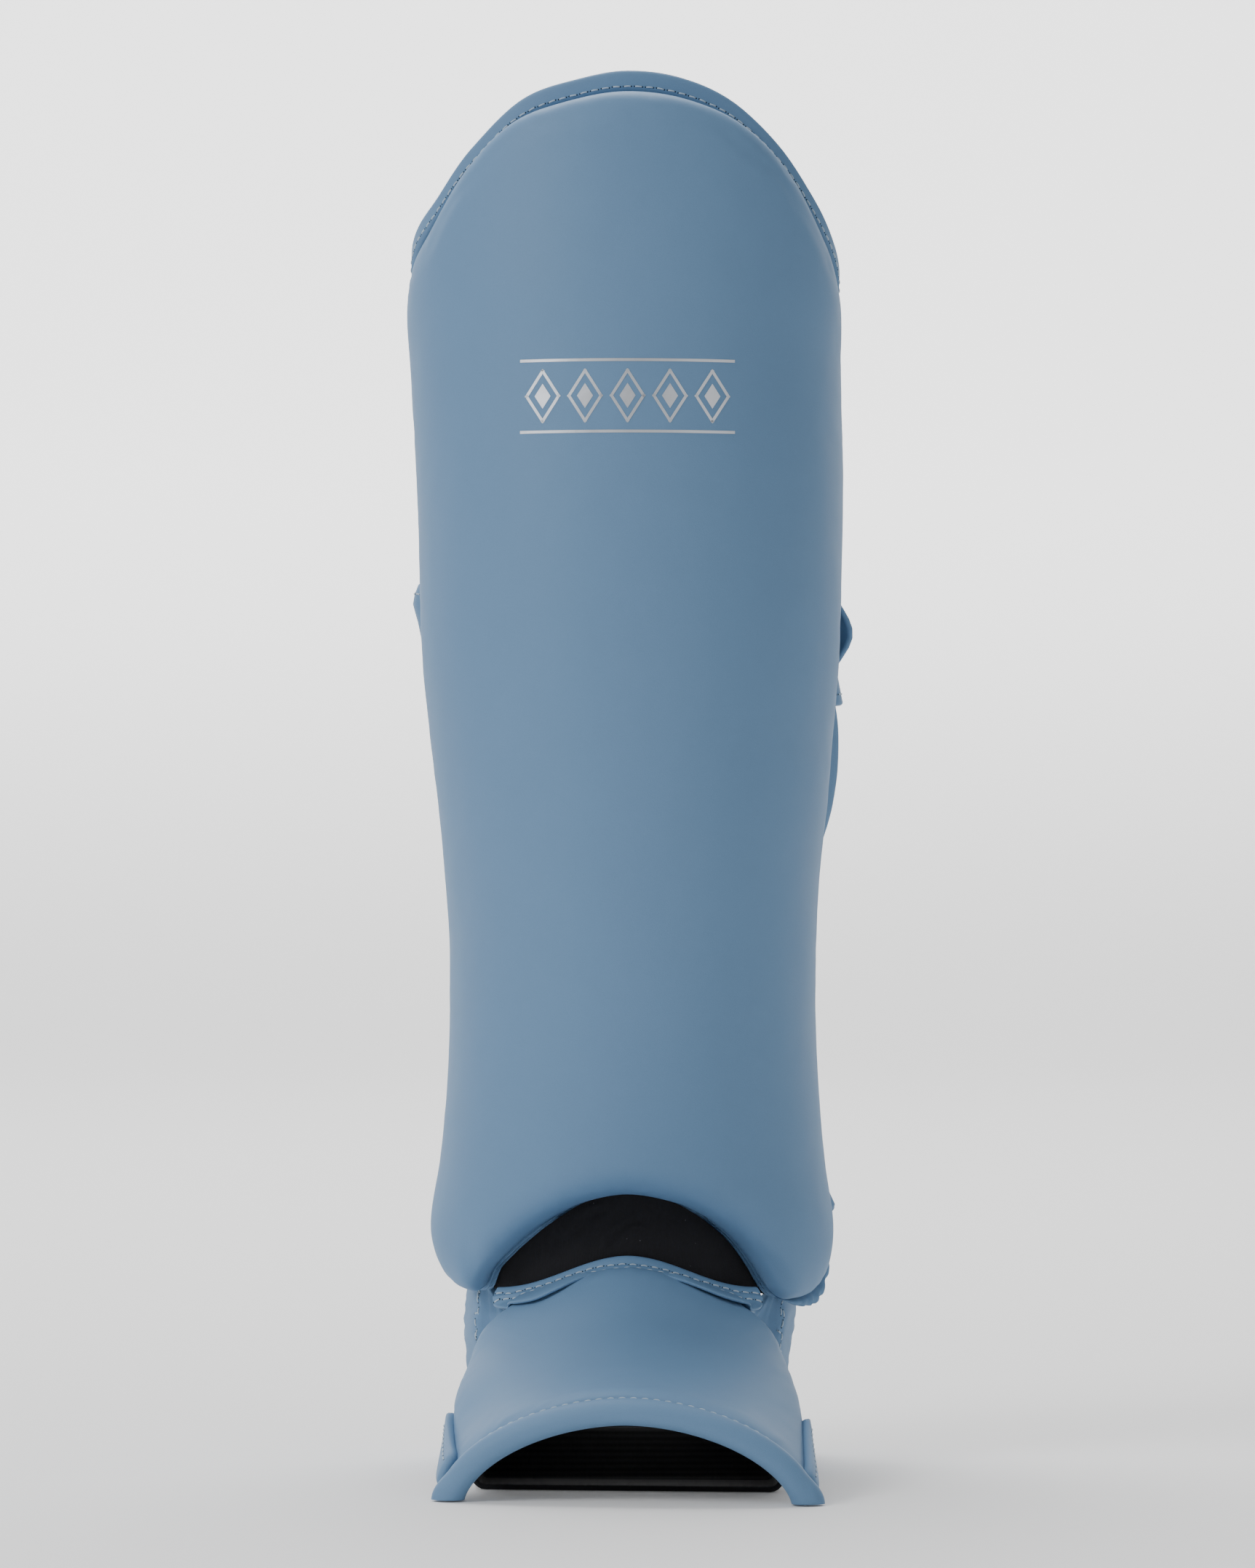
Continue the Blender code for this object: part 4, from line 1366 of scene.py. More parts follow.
def tape_lift(across, share):
    """Height of the tape's upper face: a rolled ankle edge that turns into a thin flap."""
    along = share * read(TAPE_EDGE, "reach", across)
    over = smooth(along, *TAPE_STEP)
    pad = cover_lift(across, np.maximum(along, BINDING_SHARE))
    curl = read(TAPE_EDGE, "curl", across)
    flap = mix(-TAPE_SINK, FLAP_CURL, curl) * smooth(share, FLAP_START, 1.0)
    groove = TAPE_GROOVE * np.exp(-(((along - TAPE_ROWS[0]) / GROOVE_WIDTH) ** 2))
    return mix(BINDING_WALL, pad + TAPE_WALL * TAPE_PROUD, over) + flap - groove


def tape_point(across, share, lift):
    """A point over the tape, at a share of the way from the ankle edge to its lower edge."""
    return instep_point(across, share * read(TAPE_EDGE, "reach", across), lift)


def add_tape():
    """The folded tape along the ankle edge. Its lower edge lies on the pad in the middle and
    stands off as two curled flaps."""
    def outer(across, rise):
        return tape_point(across, -rise, tape_lift(across, -rise))

    def inner(across, rise):
        along = -rise * read(TAPE_EDGE, "reach", across)
        under = tape_lift(across, -rise) - TAPE_WALL
        over = smooth(along, BINDING_SHARE * BINDING_START, BINDING_SHARE)
        return tape_point(across, -rise, mix(0.0, under, over))

    columns = half_eased(TAPE_COLUMN_COUNT, -1, 1)
    rows = -np.linspace(1, 0, TAPE_ROW_COUNT + 1)
    tape = closed_shell("instep_tape", columns, rows, outer, inner, BAND_HEM, 5)
    dress_cover(tape, "instep_top_binding")


def rim_frame(across):
    """The lining's toe edge, with the directions out of the pad and ahead of it."""
    inner = np.clip(across, -INSTEP_NORMAL_END, INSTEP_NORMAL_END)
    out = instep_facing(inner, 1.0)
    ahead = instep_base(inner, 1.0) - instep_base(inner, 0.94)
    ahead = ahead - out * np.sum(ahead * out)
    return instep_base(across, 1.0), out, unit(ahead)


def rim_section(across):
    """The rim's section at one place: forward and out, closed and rounded."""
    cover = float(pad_cover_lift(across, 1.0))
    tip = 1 + TIP_GROWTH * float(smooth(abs(across), *TIP_ACROSS))
    points = [(point.forward, point.out + cover) for point in RIM_COVER]
    points += [(point.forward, point.out * (tip if point.out > 0 else 1)) for point in RIM_ROLL]
    return smooth_loop(points, 3)


def rim_ring(across, tip=0.0):
    """The section at one place. Past the ends it draws in to a rounded tip."""
    side = math.copysign(1, across)
    base, out, ahead = rim_frame(across)
    section = rim_section(across)
    middle = section.mean(axis=0)
    drawn = middle + (section - middle) * math.sqrt(max(1 - tip * tip, 0.0004))
    points = base + ahead * drawn[:, :1] + out * drawn[:, 1:]
    if tip:
        run = instep_base(across, 1.0) - instep_base(across - side * 0.03, 1.0)
        points = points + unit(run) * RIM_TIP * tip
    points[:, 2] = np.maximum(points[:, 2], RIM_FLOOR)
    return points


def add_rim():
    """The rolled front rim: a closed section swept from one tip to the other."""
    tips = np.linspace(0, 1, RIM_TIP_RINGS + 1)[1:]
    rings = [rim_ring(-RIM_END, tip) for tip in tips[::-1]]
    rings += [rim_ring(across) for across in half_eased(RIM_COLUMN_COUNT, -RIM_END, RIM_END)]
    rings += [rim_ring(RIM_END, tip) for tip in tips]
    rings = np.array(rings)
    total, around = rings.shape[:2]
    index = np.arange(total * around).reshape(total, around)
    after = np.roll(index, -1, axis=1)
    faces = np.stack((index[:-1], index[1:], after[1:], after[:-1]), axis=-1).reshape(-1, 4)
    faces = faces.tolist() + [index[0].tolist(), index[-1][::-1].tolist()]
    mesh = bpy.data.meshes.new("instep_rim_roll")
    mesh.from_pydata((rings.reshape(-1, 3) + STAND).tolist(), [], faces)
    close_outward(mesh)
    rim = add_object("instep_rim_roll", mesh)
    dress_cover(rim, "instep_rim")


def smooth_loop(points, cuts):
    """A closed loop of points, rounded by cutting its corners."""
    loop = np.array(points)
    for _ in range(cuts):
        after = np.roll(loop, -1, axis=0)
        loop = np.stack((mix(loop, after, 0.25), mix(loop, after, 0.75)), axis=1).reshape(-1, 2)
    return loop[::2]


def close_outward(mesh):
    """Turns a closed mesh's faces outwards and smooths it."""
    body = bmesh.new()
    body.from_mesh(mesh)
    bmesh.ops.triangulate(body, faces=[face for face in body.faces if len(face.verts) > 4])
    bmesh.ops.recalc_face_normals(body, faces=body.faces)
    body.to_mesh(mesh)
    body.free()
    mesh.shade_smooth()


def ankle_base(turn, height):
    """The leg's outline round the ankle: the shin's section in front, an oval heel behind."""
    turn, height = together(turn, height)
    front = shin_base(np.clip(turn, -1, 1), height)
    edge = shin_base(np.copysign(1.0, turn), height)
    angle = turn * math.pi / 2
    x = np.abs(edge[..., 0]) * np.sin(angle)
    y = edge[..., 1] - HEEL_DEPTH * np.cos(angle)
    behind = np.stack((x, y, edge[..., 2]), axis=-1)
    return np.where((np.abs(turn) <= 1)[..., None], front, behind)


def through(points, count):
    """A smooth open line through points, with an even number of steps between them."""
    points = np.array(points, float)
    slopes = slopes_at(np.arange(len(points)), points)
    at = np.linspace(0, len(points) - 1, (len(points) - 1) * count + 1)
    low = np.clip(at.astype(int), 0, len(points) - 2)
    t = (at - low).reshape(-1, *([1] * (points.ndim - 1)))
    return between(points, slopes, low, 1, t)


def band_shell(name, rows_of_points, wall, side):
    """A band over a grid of points, rows upwards and columns to the right seen from outside.
    side 1 puts its wall outside the grid and -1 inside."""
    grid = np.array(rows_of_points)
    out = grid_facing(grid)
    columns = np.arange(grid.shape[1], dtype=float)
    rows = np.arange(grid.shape[0], dtype=float)

    def point(u, v, lift):
        return grid + out * lift

    faces = walls(point, wall if side > 0 else 0.0, 0.0 if side > 0 else -wall)
    return closed_shell(name, columns, rows, *faces, BAND_HEM)


def grid_facing(grid):
    """The direction that each point of a grid faces, rows upwards and columns to the right."""
    return unit(np.cross(np.gradient(grid, axis=1), np.gradient(grid, axis=0)))


# Ankle sides: the upper edge in shares of ANKLE_SIDE_TOP by turn, and the stations of the
# instep's side edge that their front tongue runs under
SideColumn = namedtuple("SideColumn", "turn top")
ANKLE_SIDE = (
    SideColumn(0.60, 0.60),
    SideColumn(0.69, 0.78),
    SideColumn(0.78, 0.98),
    SideColumn(0.92, 1.00),
    SideColumn(1.00, 0.96),
    SideColumn(1.12, 0.80),
    SideColumn(1.30, 0.58),
)
TONGUE_STATIONS = (0.34, 0.22, 0.10)
ANKLE_ROWS = 44
ANKLE_COLUMN_STEPS = 9
STRIP_COLUMN = 36
CREASE = 0.0009
CREASE_SIZE = 0.0032
CREASE_STRETCH = (0.3, 0.3, 1.0)
UPRIGHT = 0.0045
UPRIGHT_TOP = 0.066
UPRIGHT_RUN = 0.024
FOLD_DEPTH = 0.0012
FOLD_COLUMNS = 1.3


class GUARD_OT_ankle_sides(bpy.types.Operator):
    """Make the two side panels between the lobes and the floor."""

    bl_idname = "guard.ankle_sides"
    bl_label = "Ankle sides"

    def execute(self, context):
        for word, side in (("left", -1), ("right", 1)):
            points = ankle_side_grid(side)
            if side < 0:
                points = points[:, ::-1]
            panel = band_shell("ankle_side_panel_" + word, points, SIDE_PANEL, -1)
            dress_cover(panel, "ankle_side_" + word)
        return {"FINISHED"}


def ankle_side_grid(side):
    """Points of a side panel from its front tongue to its rear edge, creased where the leg's
    weight presses it down."""
    inset = -(BORDER_WALL + LINING_WALL + 7 * GAP)
    shares = np.linspace(0, 1, ANKLE_ROWS + 1)
    lines = []
    for station in TONGUE_STATIONS:
        edge = instep_base(float(side), station)
        top = edge[2] - LINING_WALL - 4 * GAP
        height = mix(ANKLE_SIDE_FOOT, top, shares)
        lines.append(np.stack((np.full_like(shares, edge[0]), np.full_like(shares, edge[1]), height), 1))
    for turn, top in ANKLE_SIDE:
        z = mix(ANKLE_SIDE_FOOT, ANKLE_SIDE_TOP * top, shares)
        lines.append(lifted(ankle_base, side * turn, (z - LOBE_BOTTOM) / SHIN_HEIGHT, inset))
    grid = through(lines, ANKLE_COLUMN_STEPS).transpose(1, 0, 2)
    columns = np.arange(grid.shape[1])
    strip = smooth(columns, STRIP_COLUMN - 2, STRIP_COLUMN + 2)[None, :]
    creases = waves(grid * np.array(CREASE_STRETCH), CREASE_SIZE, 6.0 + side)
    grid[..., 0] += side * CREASE * np.clip(creases, -1, 0.4) * smooth(shares, 0.1, 0.4)[:, None]
    grid[..., 0] += side * UPRIGHT * smooth(UPRIGHT_TOP - grid[..., 2], 0, UPRIGHT_RUN) * strip
    fold = np.exp(-(((columns - STRIP_COLUMN) / FOLD_COLUMNS) ** 2))[None, :]
    grid[..., 0] -= side * FOLD_DEPTH * fold
    return grid


STRAP_ROWS = 14
STRAP_STEPS = 12
STRAP_BULGE_AT = (0.0, 0.35, 0.70, 0.88, 1.0)
STRAP_BULGE_SHARE = (-0.45, 0.10, 0.60, 1.00, 0.55)
HEEL_TURN = 1.16
HEEL_COLUMNS = 60
HEEL_ROWS = 15
CALF_STRAPS = (
    ("calf_strap_upper", UPPER_STRAP_HEIGHT, STRAP_BULGE, STRAP_CURL),
    ("calf_strap_lower", LOWER_STRAP_HEIGHT, 0.0, 0.0),
)


class GUARD_OT_straps(bpy.types.Operator):
    """Make the calf straps and the elastics under the foot and round the heel."""

    bl_idname = "guard.straps"
    bl_label = "Straps"

    def execute(self, context):
        for strap in CALF_STRAPS:
            add_calf_strap(*strap)
        add_foot_strap()
        add_heel_strap()
        return {"FINISHED"}


def calf_strap_grid(foot, bulge, curl):
    """Points of a calf strap from the outside of the right flange round the calf to the left."""
    turns = [1 + run / QUARTER_ARC for run in (STRAP_END, FLANGE)]
    shares = np.linspace(0, 1, STRAP_ROWS + 1)
    z = foot + CALF_STRAP_WIDTH * shares
    height = (z - LOBE_BOTTOM) / SHIN_HEIGHT
    halves = []
    for side in (1, -1):
        near = np.clip(1 - np.abs(shares - STRAP_CURL_AT) / STRAP_CURL_SPAN, 0, 1)
        lift = STRAP_CLEARANCE + (curl * near * near * (3 - 2 * near) if side > 0 else 0 * near)
        edge = lifted(shin_base, side * turns[1], height, STRAP_CLEARANCE)
        if side < 0:
            edge[:, 0] -= bulge * np.interp(shares, STRAP_BULGE_AT, STRAP_BULGE_SHARE)
        lines = [lifted(shin_base, side * turns[0], height, lift), edge]
        for point in CALF_PATH:
            y = edge[:, 1] + (CALF_DEPTH - FLANGE) * point.back
            lines.append(np.stack((edge[:, 0] * point.side, y, z), axis=1))
        halves.append(lines)
    lines = halves[0] + halves[1][-2::-1]
    return through(lines, STRAP_STEPS).transpose(1, 0, 2)


def add_calf_strap(name, foot, bulge, curl):
    strap = band_shell(name + "_band", calf_strap_grid(foot, bulge, curl), STRAP_WALL, 1)
    dress_cover(strap, name)


def add_foot_strap():
    """Elastic that comes down from inside the instep's side edges and lies under the sole."""
    inset = -(LINING_WALL + 4 * GAP)
    shares = np.linspace(1, 0, 19)
    along = mix(FOOT_STRAP_FRONT, FOOT_STRAP_REAR, shares)
    rise = FOOT_STRAP_RISE * ramp(shares, FOOT_STRAP_LEVEL, 1)
    halves = []
    for side in (-1, 1):
        edge = instep_point(float(side), along, inset)
        other = instep_point(float(-side), along, inset)
        lines = [instep_point(side * FOOT_STRAP_TOP, along, inset), edge]
        low = np.stack((edge[:, 0], edge[:, 1], FOOT_STRAP_BEND + rise), axis=1)
        for angle in np.linspace(0, math.pi / 2, 6):
            shift = (-side * FOOT_STRAP_BEND * (1 - math.cos(angle)), 0,
                     -FOOT_STRAP_BEND * math.sin(angle))
            lines.append(low + np.array(shift))
        for share in np.linspace(0, 1, 9)[1:]:
            x = mix(edge[:, 0] - side * FOOT_STRAP_BEND, 0, share)
            y = mix(edge[:, 1], (edge[:, 1] + other[:, 1]) / 2, share)
            lines.append(np.stack((x, y, rise), axis=1))
        halves.append(lines)
    grid = np.array(halves[0] + halves[1][-2::-1]).transpose(1, 0, 2)
    strap = band_shell("foot_strap_elastic", grid, ELASTIC_WALL, -1)
    dress(strap, finish("elastic", elastic), "elastic_black", "foot_strap")


def add_heel_strap():
    """Elastic from the inside of one ankle side round the back of the heel to the other."""
    inset = -(BORDER_WALL + LINING_WALL + SIDE_PANEL + 9 * GAP)
    turns = np.linspace(HEEL_TURN, 4 - HEEL_TURN, HEEL_COLUMNS)
    shares = np.linspace(0, 1, HEEL_ROWS)
    z = HEEL_STRAP_BASE + HEEL_STRAP_WIDTH * shares
    turned = np.where(turns > 2, turns - 4, turns)
    grid = lifted(
        ankle_base, turned[None, :], ((z - LOBE_BOTTOM) / SHIN_HEIGHT)[:, None],
        np.full((len(shares), len(turns)), inset))
    strap = band_shell("heel_strap_elastic", grid, ELASTIC_WALL, -1)
    dress(strap, finish("elastic", elastic), "elastic_black", "heel_strap")


# Foot strap tabs: four corners of each on the instep, then how far its outer edge stands off
TabCorner = namedtuple("TabCorner", "across along")
Tab = namedtuple("Tab", "name side top_in low_in low_out top_out")
TABS = (
    Tab("left", -1, TabCorner(0.985, 0.655), TabCorner(0.800, 0.955), TabCorner(0.930, 0.985),
        TabCorner(1.000, 0.800)),
    Tab("right", 1, TabCorner(0.960, 0.690), TabCorner(0.860, 0.985), TabCorner(0.985, 0.985),
        TabCorner(1.000, 0.760)),
)
TAB_WALL = 0.0016
TAB_STAND_OFF = 0.0012
TAB_COLUMNS = 17
TAB_ROWS = 25
TAB_SEAM = 0.28


class GUARD_OT_tabs(bpy.types.Operator):
    """Make the two small tabs that hold the foot strap at the front corners."""

    bl_idname = "guard.tabs"
    bl_label = "Foot strap tabs"

    def execute(self, context):
        for tab in TABS:
            add_tab(tab)
        return {"FINISHED"}


def tab_point(tab, out_share, low_share, lift):
    """A point of a tab, from its inner to its outer edge and from its top to its foot."""
    def column(name):
        top_in, low_in, low_out, top_out = (getattr(corner, name) for corner in tab[2:])
        return mix(mix(top_in, low_in, low_share), mix(top_out, low_out, low_share), out_share)

    across = tab.side * column("across")
    along = column("along")
    lift = cover_lift(across, along) + lift + TAB_STAND_OFF * out_share
    return instep_point(across, along, lift)


def add_tab(tab):
    def point(u, v, lift):
        return tab_point(tab, u if tab.side > 0 else 1 - u, -v, lift)

    across = np.linspace(0, 1, TAB_COLUMNS)
    down = -np.linspace(1, 0, TAB_ROWS)
    faces = walls(point, 2 * GAP + TAB_WALL, -TAB_WALL)
    piece = closed_shell("foot_strap_tab_" + tab.name + "_patch", across, down, *faces, BAND_HEM)
    dress_cover(piece, "foot_strap_tab_" + tab.name)


# The generic ornament that fills the place of the print: two thin lines and a row of diamonds
ORNAMENT_HEIGHT = 0.3774
ORNAMENT_HALF_WIDTH = 0.0370
ORNAMENT_HALF_HEIGHT = 0.0125
ORNAMENT_LINE = 0.0010
DIAMONDS = 5
DIAMOND_HALF_WIDTH = 0.0056
DIAMOND_HALF_HEIGHT = 0.0088
FOIL_LIFT = 0.00012
FOIL_STEP = 0.0010


class GUARD_OT_ornament(bpy.types.Operator):
    """Print the silver ornament on the shin pad."""

    bl_idname = "guard.ornament"
    bl_label = "Ornament"

    def execute(self, context):
        surface = piece_tree("shin_pad_cover")
        sheet = bmesh.new()
        for rise in (-ORNAMENT_HALF_HEIGHT, ORNAMENT_HALF_HEIGHT):
            print_line(sheet, [(-ORNAMENT_HALF_WIDTH, rise), (ORNAMENT_HALF_WIDTH, rise)])
        for number in range(DIAMONDS):
            middle = mix(-1, 1, (number + 0.5) / DIAMONDS) * ORNAMENT_HALF_WIDTH
            corners = [
                (middle - DIAMOND_HALF_WIDTH, 0), (middle, -DIAMOND_HALF_HEIGHT),
                (middle + DIAMOND_HALF_WIDTH, 0), (middle, DIAMOND_HALF_HEIGHT)]
            print_line(sheet, corners + corners[:1])
            print_patch(sheet, [
                (mix(middle, x, 0.5), z * 0.5) for x, z in corners])
        for vertex in sheet.verts:
            start = Vector((vertex.co.x + STAND[0], -1, ORNAMENT_HEIGHT + vertex.co.z))
            place, normal, _, _ = surface.ray_cast(start, Vector((0, 1, 0)))
            vertex.co = place + normal * FOIL_LIFT
        mesh = bpy.data.meshes.new("foil_ornament")
        sheet.to_mesh(mesh)
        sheet.free()
        mesh.shade_smooth()
        ornament = add_object("foil_ornament", mesh)
        dress(ornament, finish("foil", foil), "foil_silver")
        return {"FINISHED"}


def print_patch(sheet, corners):
    """A flat patch with four corners, cut fine enough to follow the pad."""
    low_left, low_right, top_right, top_left = (np.array(corner) for corner in corners)
    wide = max(np.linalg.norm(low_right - low_left), np.linalg.norm(top_right - top_left))
    high = max(np.linalg.norm(top_left - low_left), np.linalg.norm(top_right - low_right))
    columns = max(int(math.ceil(wide / FOIL_STEP)), 1)
    rows = max(int(math.ceil(high / FOIL_STEP)), 1)
    grid = []
    for j in range(rows + 1):
        first = mix(low_left, top_left, j / rows)
        last = mix(low_right, top_right, j / rows)
        places = [mix(first, last, i / columns) for i in range(columns + 1)]
        grid.append([sheet.verts.new((x, 0, z)) for x, z in places])
    for j in range(rows):
        for i in range(columns):
            sheet.faces.new((grid[j][i], grid[j][i + 1], grid[j + 1][i + 1], grid[j + 1][i]))


def print_line(sheet, corners):
    """A line of ORNAMENT_LINE's width through corners."""
    for first, last in zip(corners, corners[1:]):
        run = unit(np.array(last) - np.array(first)) * ORNAMENT_LINE / 2
        side = np.array((run[1], -run[0]))
        print_patch(sheet, [first - run + side, last + run + side,
                            last + run - side, first - run - side])


# Stitches
Seam = namedtuple("Seam", "points facing piece")
STITCH_SEED = 7
STITCH_TURN = 0.10
HEM_SEAM = 0.42
ZIGZAG_COLUMN = 40
ZIGZAG_SWING = 1
ZIGZAG_ROWS = 2
SNAP_LIFT = 0.001
STITCH_STEP = 0.0008
RIM_ROW = (0.0010, 0.0006)


class GUARD_OT_stitches(bpy.types.Operator):
    """Sew the seams: a stitch and the painted shade of its needle holes at every pitch."""

    bl_idname = "guard.stitches"
    bl_label = "Stitches"

    def execute(self, context):
        trees = {}
        spots = [stitch_spots(seam, trees) for seam in all_seams()]
        points, along, out = (np.concatenate(part) for part in zip(*spots))
        # The holes are flat dark discs that carry painted shade
        for name, maker, material, slot in (
                ("seam_stitches", stitch_tree, finish("thread", thread), "cover_blue"),
                ("seam_hole_shades", hole_tree, finish("hole", needle_hole_shade), "cover_blue")):
            mesh = bpy.data.meshes.new(name + "_spots")
            mesh.from_pydata((points + STAND).tolist(), [], [])
            for label, values in (("along", along), ("out", out)):
                attribute = mesh.attributes.new(label, "FLOAT_VECTOR", "POINT")
                attribute.data.foreach_set("vector", values.astype(np.float32).ravel())
            spots_object = add_object(name + "_spots", mesh)
            grow(spots_object, maker(), {
                "Length": sizes().stitch_length, "Thickness": sizes().thread,
                "Turn": STITCH_TURN, "Seed": STITCH_SEED, "Material": material})
            sewn = add_object(name, evaluated_mesh(spots_object))
            bpy.data.objects.remove(spots_object)
            sewn.data.shade_smooth()
            dress(sewn, material, slot)
        return {"FINISHED"}


def grow(piece, tree, values):
    """Adds a geometry tree to a piece, with its inputs set by their identifiers."""
    modifier = piece.modifiers.new(tree.name, "NODES")
    modifier.node_group = tree
    for item in tree.interface.items_tree:
        if item.item_type == "SOCKET" and item.in_out == "INPUT" and item.name in values:
            modifier[item.identifier] = values[item.name]


def geometry_tree(name):
    """An empty geometry tree with the inputs that stitches need."""
    tree = bpy.data.node_groups.new(name, "GeometryNodeTree")
    tree.interface.new_socket("Geometry", in_out="OUTPUT", socket_type="NodeSocketGeometry")
    for label, kind in (
            ("Geometry", "NodeSocketGeometry"), ("Length", "NodeSocketFloat"),
            ("Thickness", "NodeSocketFloat"), ("Turn", "NodeSocketFloat"),
            ("Seed", "NodeSocketInt"), ("Material", "NodeSocketMaterial")):
        tree.interface.new_socket(label, in_out="INPUT", socket_type=kind)
    maker = Tree(tree.nodes, tree.links)
    inputs = tree.nodes.new("NodeGroupInput")
    sockets = {socket.name: Value(maker, socket) for socket in inputs.outputs if socket.name}
    return tree, maker, sockets


def set_on_points(tree, maker, sockets, shape):
    """Puts a shape on every point, along its seam and facing out of its surface."""
    along, out = (
        maker.node("GeometryNodeInputNamedAttribute", {"data_type": "FLOAT_VECTOR"}, {"Name": name})
        for name in ("along", "out"))
    first = maker.node("FunctionNodeAlignRotationToVector", {"axis": "X"}, {"Vector": along})
    turned = maker.node("FunctionNodeAlignRotationToVector", {"axis": "Z", "pivot_axis": "X"},
                        {"Rotation": first, "Vector": out})
    low = sockets["Turn"] * -1.0
    swing = maker.node("FunctionNodeRandomValue", {"data_type": "FLOAT"}, {
        2: low, 3: sockets["Turn"], "Seed": sockets["Seed"]}, 1)
    axis = maker.node("FunctionNodeAxisAngleToRotation", None, {
        "Axis": (0.0, 0.0, 1.0), "Angle": swing})
    spun = maker.node("FunctionNodeRotateRotation", {"rotation_space": "LOCAL"}, {
        "Rotation": turned, "Rotate By": axis})
    placed = maker.node("GeometryNodeInstanceOnPoints", None, {
        "Points": sockets["Geometry"], "Instance": shape, "Rotation": spun})
    real = maker.node("GeometryNodeRealizeInstances", None, {"Geometry": placed})
    painted = maker.node("GeometryNodeSetMaterial", None, {
        "Geometry": real, "Material": sockets["Material"]})
    output = tree.nodes.new("NodeGroupOutput")
    maker.join(output.inputs["Geometry"], painted)
    return tree


def stitch_tree():
    """One stitch: a short arc of thread that dips into the cover at both ends."""
    tree, maker, sockets = geometry_tree("Stitches")
    half = sockets["Length"] * 0.5
    rise = sockets["Thickness"] * 0.55
    dip = sockets["Thickness"] * -0.75

    def spot(x, z):
        return maker.node("ShaderNodeCombineXYZ", None, {"X": x, "Z": z})

    line = maker.node("GeometryNodeCurvePrimitiveBezierSegment", None, {
        "Resolution": 6, "Start": spot(half * -1.0, dip), "Start Handle": spot(half * -0.75, rise),
        "End Handle": spot(half * 0.75, rise), "End": spot(half, dip)})
    ring = maker.node("GeometryNodeCurvePrimitiveCircle", None, {
        "Resolution": 7, "Radius": sockets["Thickness"] * 0.5})
    tube = maker.node("GeometryNodeCurveToMesh", None, {
        "Curve": line, "Profile Curve": ring, "Fill Caps": True})
    return set_on_points(tree, maker, sockets, tube)


def hole_tree():
    """The pair of needle holes that a stitch goes into, as flat discs that carry their painted shade."""
    tree, maker, sockets = geometry_tree("Needle holes")
    ball = maker.node("GeometryNodeMeshIcoSphere", None, {
        "Radius": sockets["Thickness"] * 0.62, "Subdivisions": 2})
    ends = []
    for side in (-1.0, 1.0):
        place = maker.node("ShaderNodeCombineXYZ", None, {
            "X": sockets["Length"] * (0.52 * side), "Z": sockets["Thickness"] * -0.02})
        ends.append(maker.node("GeometryNodeTransform", None, {
            "Geometry": ball, "Translation": place, "Scale": (1.0, 0.8, 0.22)}))
    both = tree.nodes.new("GeometryNodeJoinGeometry")
    for end in ends:
        tree.links.new(end.socket, both.inputs[0])
    return set_on_points(tree, maker, sockets, Value(maker, both.outputs[0]))


def piece_tree(name):
    mesh = bpy.data.objects[name].data
    return BVHTree.FromPolygons(
        [vertex.co for vertex in mesh.vertices], [face.vertices for face in mesh.polygons])


def on_surface(points, out, tree):
    """Points and directions moved to the nearest place of a piece's surface."""
    for index, point in enumerate(points + STAND + out * SNAP_LIFT):
        place, normal, _, _ = tree.find_nearest(Vector(point))
        points[index] = np.array(place) - STAND
        if normal.dot(Vector(out[index])) > 0:
            out[index] = np.array(normal)
    return points, out


def stitch_spots(seam, trees):
    """Even places along a seam, with its direction and the direction out of the surface."""
    steps = np.linalg.norm(np.diff(seam.points, axis=0), axis=1)
    run = np.concatenate(((0,), steps.cumsum()))
    count = max(int(round(run[-1] / sizes().stitch_pitch)), 1)
    at = (np.arange(count) + 0.5) * run[-1] / count

    def taken(values, places):
        return np.stack([np.interp(places, run, values[:, axis]) for axis in range(3)], axis=1)

    ahead = taken(seam.points, at + STITCH_STEP)
    along = unit(ahead - taken(seam.points, at - STITCH_STEP))
    if seam.piece not in trees:
        trees[seam.piece] = piece_tree(seam.piece)
    points, out = on_surface(
        taken(seam.points, at), unit(taken(seam.facing, at)), trees[seam.piece])
    out = unit(out - along * np.sum(out * along, axis=1, keepdims=True))
    return points, along, out


def all_seams():
    """Every visible row of stitches."""
    return border_seams() + tape_seams() + rim_seams() + tab_seams() + strap_seams() + ankle_seams()


def border_line(turns, shares):
    """A seam on the backing's outer face, by turn and share."""
    turns, shares = together(turns, shares)
    points = border_point(turns, shares, -GAP)
    out = facing(lambda u, v: border_point(u, v, 0.0), turns, shares)
    return Seam(points, out, "shin_border_cover")


def border_seams():
    """The row round the flange, and the tiny stitches at the arch."""
    beyond = 1 + HEM_SEAM * FLANGE / QUARTER_ARC
    side_shares = np.linspace(0.02, 1 + HEM_SEAM, 260)
    return [
        border_line(np.linspace(-beyond, beyond, 300), 1 + HEM_SEAM),
        border_line(-beyond, side_shares),
        border_line(beyond, side_shares),
        border_line(np.linspace(-0.22, 0.24, 60), -0.75),
    ]


def tape_seams():
    across = np.linspace(-0.99, 0.99, 240)
    seams = []
    for reach in TAPE_ROWS:
        wobble = 0.003 * waves(instep_base(across, reach), 0.02, 1.0)
        share = np.clip((reach + wobble) / read(TAPE_EDGE, "reach", across), 0, 0.97)
        points = tape_point(across, share, tape_lift(across, share))
        out = instep_facing(across, np.full_like(across, reach))
        seams.append(Seam(points, out, "instep_tape"))
    return seams


